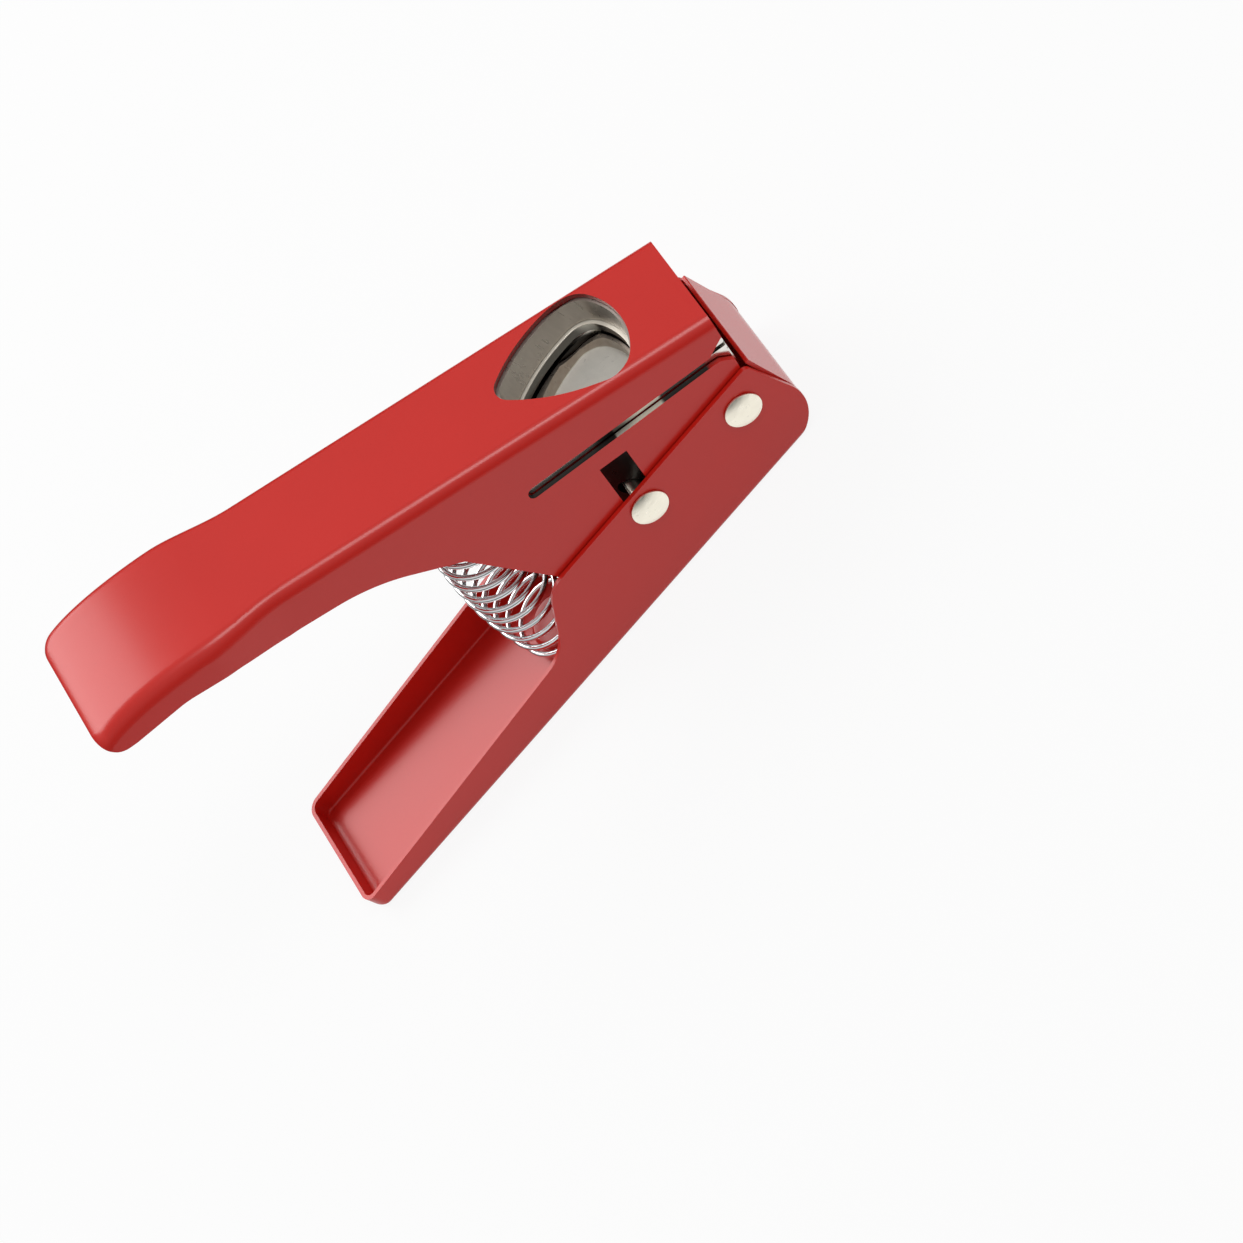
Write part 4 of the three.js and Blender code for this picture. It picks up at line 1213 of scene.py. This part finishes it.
class PICK_PUNCH_OT_lower_lever(Operator):
    """Fold the lower lever with its ears, its front flange and its tray"""

    bl_idname = "pick_punch.lower_lever"
    bl_label = "Lower lever"

    def skin(self, s, inset):
        """The tray's outer skin, or its inner one when it is drawn in by the sheet."""
        stations = [(-s.flange_reach - (OVERRUN if inset else 0), 0, 0)]
        corner, fold = s.corner - inset, s.fold - inset
        for a in quarter(TAIL_STEPS):
            t = math.sin(a)
            rise = 1 - math.sqrt(1 - t * t)
            stations.append((s.length - inset - corner + corner * t, corner * rise, fold * rise))
        return lofted(
            [
                channel(-back, s.half - inset - aside, s.ear_height + OVERRUN, inset + lift, fold)
                for back, aside, lift in stations
            ]
        )

    def execute(self, context):
        s, link, pins = sizes("lower"), sizes("linkage"), sizes("fasteners")
        bend = s.bend_radius - s.flange_reach
        wide, inner = s.half + OVERRUN, s.half - s.sheet
        front = s.sheet + s.seam - s.flange_reach
        ears = [
            (s.ear_length, -OVERRUN, 0),
            (s.ear_length, 0, 0),
            (front - s.ear_lean, 0, s.ear_foot),
            (front, s.ear_height, s.ear_corner),
            (s.ear_length, s.ear_height, s.ear_crown),
            (s.ear_length + s.ramp_length, s.wall_front, s.ramp_fillet),
            (s.length, s.wall_rear, 0),
            (s.length + OVERRUN, s.wall_rear, 0),
            (s.length + OVERRUN, -OVERRUN, 0),
        ]
        notch = [
            (bend, -OVERRUN, 0),
            (-s.flange_reach - OVERRUN, -OVERRUN, 0),
            (-s.flange_reach - OVERRUN, s.fold, 0),
            (bend, s.fold, 0),
        ]
        lap = bend + s.bend_lap
        flange = [
            (lap, 0, 0),
            (-s.flange_reach, 0, s.bend_radius),
            (-s.flange_reach, s.flange_height, s.edge_round),
            (s.sheet - s.flange_reach, s.flange_height, s.edge_round),
            (s.sheet - s.flange_reach, s.sheet, s.bend_radius - s.sheet),
            (lap, s.sheet, 0),
        ]
        drive = (link.drive_reach, link.pivot_height + link.drive_rise)
        body = shaped(
            self.skin(s, 0),
            *less(self.skin(s, s.sheet)),
            ("INTERSECT", side_prism(ears, wide, FINE_STEPS)),
            *less(side_prism(notch, inner)),
            ("UNION", side_prism(flange, inner - s.seam, FINE_STEPS)),
            *less(
                round_bar(pins.pivot_radius + pins.pin_fit, 0, link.pivot_height, wide),
                round_bar(pins.drive_radius + pins.pin_fit, *drive, wide),
            ),
        )
        finished(body, "lower_lever_shell", lower_frame(), s.rim_round)
        return {"FINISHED"}


class PICK_PUNCH_OT_die_stack(Operator):
    """Make the relief block, the die plate and the guide plate"""

    bl_idname = "pick_punch.die_stack"
    bl_label = "Die stack"

    def execute(self, context):
        s, link = sizes("die"), sizes("linkage")
        upper = sizes("upper")
        in_card = upper_frame() @ card_in_upper()
        rear = s.plate_length - s.overhang
        block_low = s.die_thickness + s.gap
        guide_top = -link.card_gap
        guide_low = guide_top - s.guide_thickness
        low_front, low_rear = card_place(-s.block_overhang, block_low), card_place(rear, block_low)
        corners = [
            (low_front[0], link.pivot_depth, 0),
            (low_rear[0], link.pivot_depth, 0),
            (*low_rear, 0),
            (*low_front, 0),
        ]
        pick = (s.pick_start, s.pick_length, s.pick_width)
        relief = flat_prism(pick_outline(*pick, s.relief_inset), -OVERRUN, link.pivot_depth)
        block = shaped(
            side_prism(corners, upper.width / 2),
            ("INTERSECT", upper_skin(upper.sheet + s.gap)),
            *less(relief),
        )
        hole = pick_outline(*pick, s.die_inset)
        plan = rectangle(-s.overhang, rear, s.plate_half, s.plate_corner)
        plate = shaped(flat_prism(plan, 0, s.die_thickness), *less(flat_prism(hole, -OVERRUN, OVERRUN)))
        back = rear - s.flange_inset - s.stop_length
        cheeks = rectangle(-s.overhang, back, s.plate_half, 0)
        between = rectangle(-s.overhang - OVERRUN, back + OVERRUN, s.plate_half - s.flange_thickness, 0)
        flanges = shaped(
            flat_prism(cheeks, guide_top - s.flange_depth, guide_top - s.guide_thickness / 2),
            *less(flat_prism(between, guide_top - s.flange_depth - OVERRUN, guide_top)),
        )
        guide = shaped(
            flat_prism(plan, guide_low, guide_top),
            *less(flat_prism(hole, guide_low - OVERRUN, guide_top + OVERRUN)),
            ("UNION", flanges),
        )
        finished(block, "relief_block", upper_frame(), s.edge_round)
        finished(plate, "cutting_plate", in_card, s.edge_round)
        finished(guide, "guiding_plate", in_card, s.edge_round)
        return {"FINISHED"}


class PICK_PUNCH_OT_punch(Operator):
    """Make the hollow punch with its scalloped rim"""

    bl_idname = "pick_punch.punch"
    bl_label = "Punch"

    def execute(self, context):
        s, link = sizes("die"), sizes("linkage")
        rim = -link.card_gap - s.rim_drop
        inset = s.die_inset + s.fit
        along, above = drive_in_card()
        outline = pick_outline(s.pick_start, s.pick_length, s.pick_width, inset)
        hollow = pick_outline(s.pick_start + inset + s.recess_start, s.recess_length, s.recess_width, 0)
        half = s.pick_width / 2 + OVERRUN
        dip = round_bar(
            s.scallop_radius,
            s.pick_start + s.scallop_back,
            rim + s.scallop_radius - s.scallop_dip,
            half,
        )
        reach = sizes("fasteners").drive_radius + s.slot_fit
        right = along + link.drive_travel + reach
        cross = [
            (along - reach, above - reach, reach),
            (right, above - reach, reach),
            (right, above + reach, reach),
            (along - reach, above + reach, reach),
        ]
        body = shaped(
            flat_prism(outline, above - s.foot, rim),
            *less(
                flat_prism(hollow, rim - s.recess_depth, rim + OVERRUN),
                dip,
                side_prism(cross, half, SLOT_STEPS),
            ),
        )
        finished(body, "hollow_punch", upper_frame() @ card_in_upper(), s.punch_round)
        return {"FINISHED"}


def join(pieces):
    """Puts the later pieces into the first one's mesh."""
    made = bmesh.new()
    for piece in pieces:
        made.from_mesh(piece.data)
    made.to_mesh(pieces[0].data)
    made.free()
    remove(*pieces[1:])


class PICK_PUNCH_OT_rivets(Operator):
    """Make the two rivets and the sleeve round the pivot pin"""

    bl_idname = "pick_punch.rivets"
    bl_label = "Rivets"

    def execute(self, context):
        s, link, lower = sizes("fasteners"), sizes("linkage"), sizes("lower")
        under = lower.half + s.head_gap
        dome = s.head_height - s.head_rim
        radius = (s.head_radius**2 + dome**2) / (2 * dome)
        edge = s.head_edge
        profile = [(0, 0), (s.head_radius - edge, 0)]
        for a in quarter(EDGE_STEPS):
            profile.append((s.head_radius - edge * (1 - math.sin(a)), edge * (1 - math.cos(a))))
        full = math.asin(s.head_radius / radius)
        for step in range(DOME_STEPS + 1):
            a = full * (1 - step / DOME_STEPS)
            profile.append((radius * math.sin(a), s.head_height - radius * (1 - math.cos(a))))
        head = turned(profile, upright=False)
        step = Vector((-link.drive_reach, 0, link.drive_rise))
        first = Vector((0, 0, link.pivot_height))
        row = row_tree()
        near, far = (
            row.run(
                {
                    "Copy": head,
                    "Count": 2,
                    "First": first + Vector((0, side * under, 0)),
                    "Step": step,
                    "Turn": (0, 0, turn),
                    "Finish": finish_named("satin_nickel"),
                }
            )
            for side, turn in ((-1, 0), (1, math.pi))
        )
        remove(head)
        pins = [
            turned([(0, -under), (r, -under), (r, under), (0, under)], upright=False)
            for r in (s.pivot_radius, s.drive_radius)
        ]
        for pin, place in zip(pins, (first, first + step)):
            pin.data.transform(Matrix.Translation(place))
        join([near, far, *pins])
        finished(near, "rivets", lower_frame())
        outer, inner = s.sleeve_radius, s.pivot_radius + s.sleeve_fit
        half = sizes("die").plate_half
        sleeve = turned([(inner, -half), (outer, -half), (outer, half), (inner, half)], False)
        finished(sleeve, "spacer_sleeve", upper_frame(), s.sleeve_round)
        return {"FINISHED"}


class PICK_PUNCH_OT_screws(Operator):
    """Make the two countersunk and the two pan-head die screws"""

    bl_idname = "pick_punch.screws"
    bl_label = "Die screws"

    def execute(self, context):
        s, die, link = sizes("fasteners"), sizes("die"), sizes("linkage")
        seat = s.head_gap
        top = die.die_thickness + die.gap + s.screw_bite
        under = -link.card_gap - die.guide_thickness - seat
        low = under - s.pan_height
        r, socket = s.screw_radius, s.screw_radius * SOCKET_SHARE
        front = [
            (0, seat + s.flat_socket),
            (socket, seat + s.flat_socket),
            (socket, seat),
            (s.countersink, seat),
            (r, seat + s.countersink_depth),
            (r, top),
            (0, top),
        ]
        rear = [(0, low + s.pan_socket), (socket, low + s.pan_socket), (socket, low)]
        rear += [(s.pan_radius * wide, under - s.pan_height * high) for wide, high in PAN_SHARES]
        rear += [(r, under), (r, top), (0, top)]
        rear_back = die.plate_length - die.overhang - die.stop_length / 2
        row = row_tree()
        for profile, back, name in (
            (front, s.front_back, "front_die_screws"), (rear, rear_back, "rear_die_screws")
        ):
            screw = turned(profile)
            pair = row.run(
                {
                    "Copy": screw,
                    "Count": 2,
                    "First": Vector((-back, -s.screw_spread, 0)),
                    "Step": Vector((0, 2 * s.screw_spread, 0)),
                    "Finish": finish_named("zinc_plate"),
                }
            )
            remove(screw)
            finished(pair, name, upper_frame() @ card_in_upper())
        return {"FINISHED"}


class PICK_PUNCH_OT_spring(Operator):
    """Coil the return spring between the levers and turn its two bosses"""

    bl_idname = "pick_punch.spring"
    bl_label = "Return spring"

    def execute(self, context):
        s, link = sizes("spring"), sizes("linkage")
        top_sheet = link.pivot_depth - sizes("upper").sheet
        floor = sizes("lower").sheet
        wire = s.wire / 2
        foot = lower_frame() @ Vector((-s.back, 0, floor + s.gap + wire))
        head = upper_frame() @ Vector((-s.top_back, 0, top_sheet - s.gap - wire))
        handle = (head - foot).length * s.bend
        lean = Vector((math.sin(link.open_angle), 0, math.cos(link.open_angle)))
        coil = coil_tree().run(
            {
                "Coils": float(s.coils),
                "Coil radius": s.radius - wire,
                "Wire radius": wire,
                "Steps": s.steps,
                "Sides": s.sides,
                "Turn in": s.turn_in,
                "Foot": foot,
                "Foot handle": foot + Vector((0, 0, handle)),
                "Head handle": head - lean * handle,
                "Head": head,
                "Finish": finish_named("bright_wire"),
            }
        )
        coil.name = "coil_spring"
        coil.data.transform(METRES)
        coil.data.shade_smooth()
        coil.data.set_sharp_from_angle(angle=WIRE_SMOOTH)
        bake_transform(coil)
        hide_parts("return_spring")
        profile = [
            (0, 0),
            (s.boss_radius, 0),
            (s.boss_radius, s.boss_height - s.boss_round),
            (s.boss_radius - s.boss_round, s.boss_height),
            (0, s.boss_height),
        ]
        flip = Matrix.Rotation(math.pi, 4, "X")
        low = lower_frame() @ Matrix.Translation((-s.back, 0, floor + s.gap))
        high = upper_frame() @ Matrix.Translation((-s.top_back, 0, top_sheet - s.gap)) @ flip
        finished(turned(profile), "lower_spring_boss", low, s.boss_edge)
        finished(turned(profile), "upper_spring_boss", high, s.boss_edge)
        return {"FINISHED"}


class PICK_PUNCH_OT_kept_nodes(Operator):
    """Give a finish to the solids that keep their own shape"""

    bl_idname = "pick_punch.kept_nodes"
    bl_label = "Kept solids"

    def execute(self, context):
        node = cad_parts["card_stop"]
        node.data.materials.clear()
        node.data.materials.append(finish_named("zinc_plate"))
        return {"FINISHED"}


class PICK_PUNCH_OT_stage(Operator):
    """Set the pale floor, the soft lamps and the camera"""

    bl_idname = "pick_punch.stage"
    bl_label = "Stage"

    def lamp(self, name, place, power, size):
        """A square soft lamp that looks at the punch."""
        data = bpy.data.lights.new(name, "AREA")
        data.energy = power
        data.size = size
        lamp = bpy.data.objects.new(name, data)
        lamp.location = place
        lamp.rotation_euler = (Vector(AIM) - Vector(place)).to_track_quat("-Z", "Y").to_euler()
        bpy.context.scene.collection.objects.link(lamp)

    def execute(self, context):
        s = settings("stage")
        scene = bpy.context.scene
        scene.view_settings.view_transform = "Standard"
        low = -s.floor_drop
        corners = [(x * FLOOR, y * FLOOR, low) for x, y in ((-1, -1), (1, -1), (1, 1), (-1, 1))]
        floor = mesh_object("floor", corners, [(0, 1, 2, 3)])
        pale = Finish("pale_floor", {"Roughness": 0.9, "Base Color": (*s.floor, 1)})
        glow = pale.node("ShaderNodeEmission", None, {"Color": (1, 1, 1, 1), "Strength": 1.0})
        away = pale.node("ShaderNodeVectorMath", {"operation": "LENGTH"}, {0: pale.place()}, 1)
        near = pale.spread(away, s.near_floor, s.far_floor, s.floor_gloss, s.low_gloss)
        gloss = pale.ray("Glossy")
        seen = pale.ray("Camera") * s.seen_white + gloss * near
        dark = pale.node("ShaderNodeEmission", None, {"Color": (0, 0, 0, 1), "Strength": 0.0})
        own = Value(pale, pale.surface.outputs[0])
        own = pale.node("ShaderNodeMixShader", None, {0: gloss, 1: own, 2: dark})
        mixed = pale.node("ShaderNodeMixShader", None, {0: seen, 1: own, 2: glow})
        pale.tree.links.new(mixed.socket, pale.tree.nodes["Material Output"].inputs[0])
        floor.data.materials.append(pale.material)
        world = bpy.data.worlds.new("soft_studio")
        world.use_nodes = True
        scene.world = world
        sky = Shader(world.node_tree)
        way = sky.node("ShaderNodeTexCoord", output="Generated")
        gloss = sky.axes(way)[2]
        gloss = sky.spread(gloss, 0, s.overhead, s.low_gloss, s.high_gloss)
        seen = sky.ray("Glossy")
        level = gloss * seen + s.sky * (1 - seen)
        camera = sky.ray("Camera")
        back = world.node_tree.nodes["Background"]
        back.inputs["Color"].default_value = (1, 1, 1, 1)
        world.node_tree.links.new((level * (1 - camera) + camera).socket, back.inputs["Strength"])
        self.lamp("key", KEY_PLACE, s.key, s.key_size)
        self.lamp("top", TOP_PLACE, s.top, s.top_size)
        data = bpy.data.cameras.new("camera")
        data.lens = s.lens
        data.sensor_width = FILM
        camera = bpy.data.objects.new("camera", data)
        camera.location = CAMERA_PLACE
        camera.rotation_euler = [math.radians(a) for a in CAMERA_TURN]
        scene.collection.objects.link(camera)
        scene.camera = camera
        return {"FINISHED"}


STEPS = (
    PICK_PUNCH_OT_upper_lever,
    PICK_PUNCH_OT_lower_lever,
    PICK_PUNCH_OT_die_stack,
    PICK_PUNCH_OT_punch,
    PICK_PUNCH_OT_rivets,
    PICK_PUNCH_OT_screws,
    PICK_PUNCH_OT_spring,
    PICK_PUNCH_OT_kept_nodes,
    PICK_PUNCH_OT_stage,
)


class PICK_PUNCH_PT_panel(Panel):
    """Lists the pieces of the punch and their settings"""

    bl_idname = "PICK_PUNCH_PT_panel"
    bl_label = "Pick Punch"
    bl_space_type = "VIEW_3D"
    bl_region_type = "UI"
    bl_category = "Pick Punch"

    def draw(self, context):
        column = self.layout.column(align=True)
        for step in STEPS:
            column.operator(step.bl_idname)
        for name, group in GROUPS.items():
            box = self.layout.box()
            box.label(text=name.capitalize())
            for key in group.__annotations__:
                box.prop(getattr(context.scene.pick_punch, name), key)


CLASSES = (*GROUPS.values(), PickPunchSettings, *STEPS, PICK_PUNCH_PT_panel)


def register():
    """Names every setting after its key, and registers the classes."""
    for group in GROUPS.values():
        for key, setting in group.__annotations__.items():
            setting.keywords["name"] = key.replace("_", " ").capitalize()
    for cls in CLASSES:
        bpy.utils.register_class(cls)
    bpy.types.Scene.pick_punch = PointerProperty(type=PickPunchSettings)


def unregister():
    """Takes the settings and the classes out again."""
    del bpy.types.Scene.pick_punch
    for cls in reversed(CLASSES):
        bpy.utils.unregister_class(cls)


def main():
    """Builds the whole punch."""
    register()
    for step in STEPS:
        getattr(bpy.ops.pick_punch, step.bl_idname.split(".")[1])()


if __name__ == "__main__":
    main()
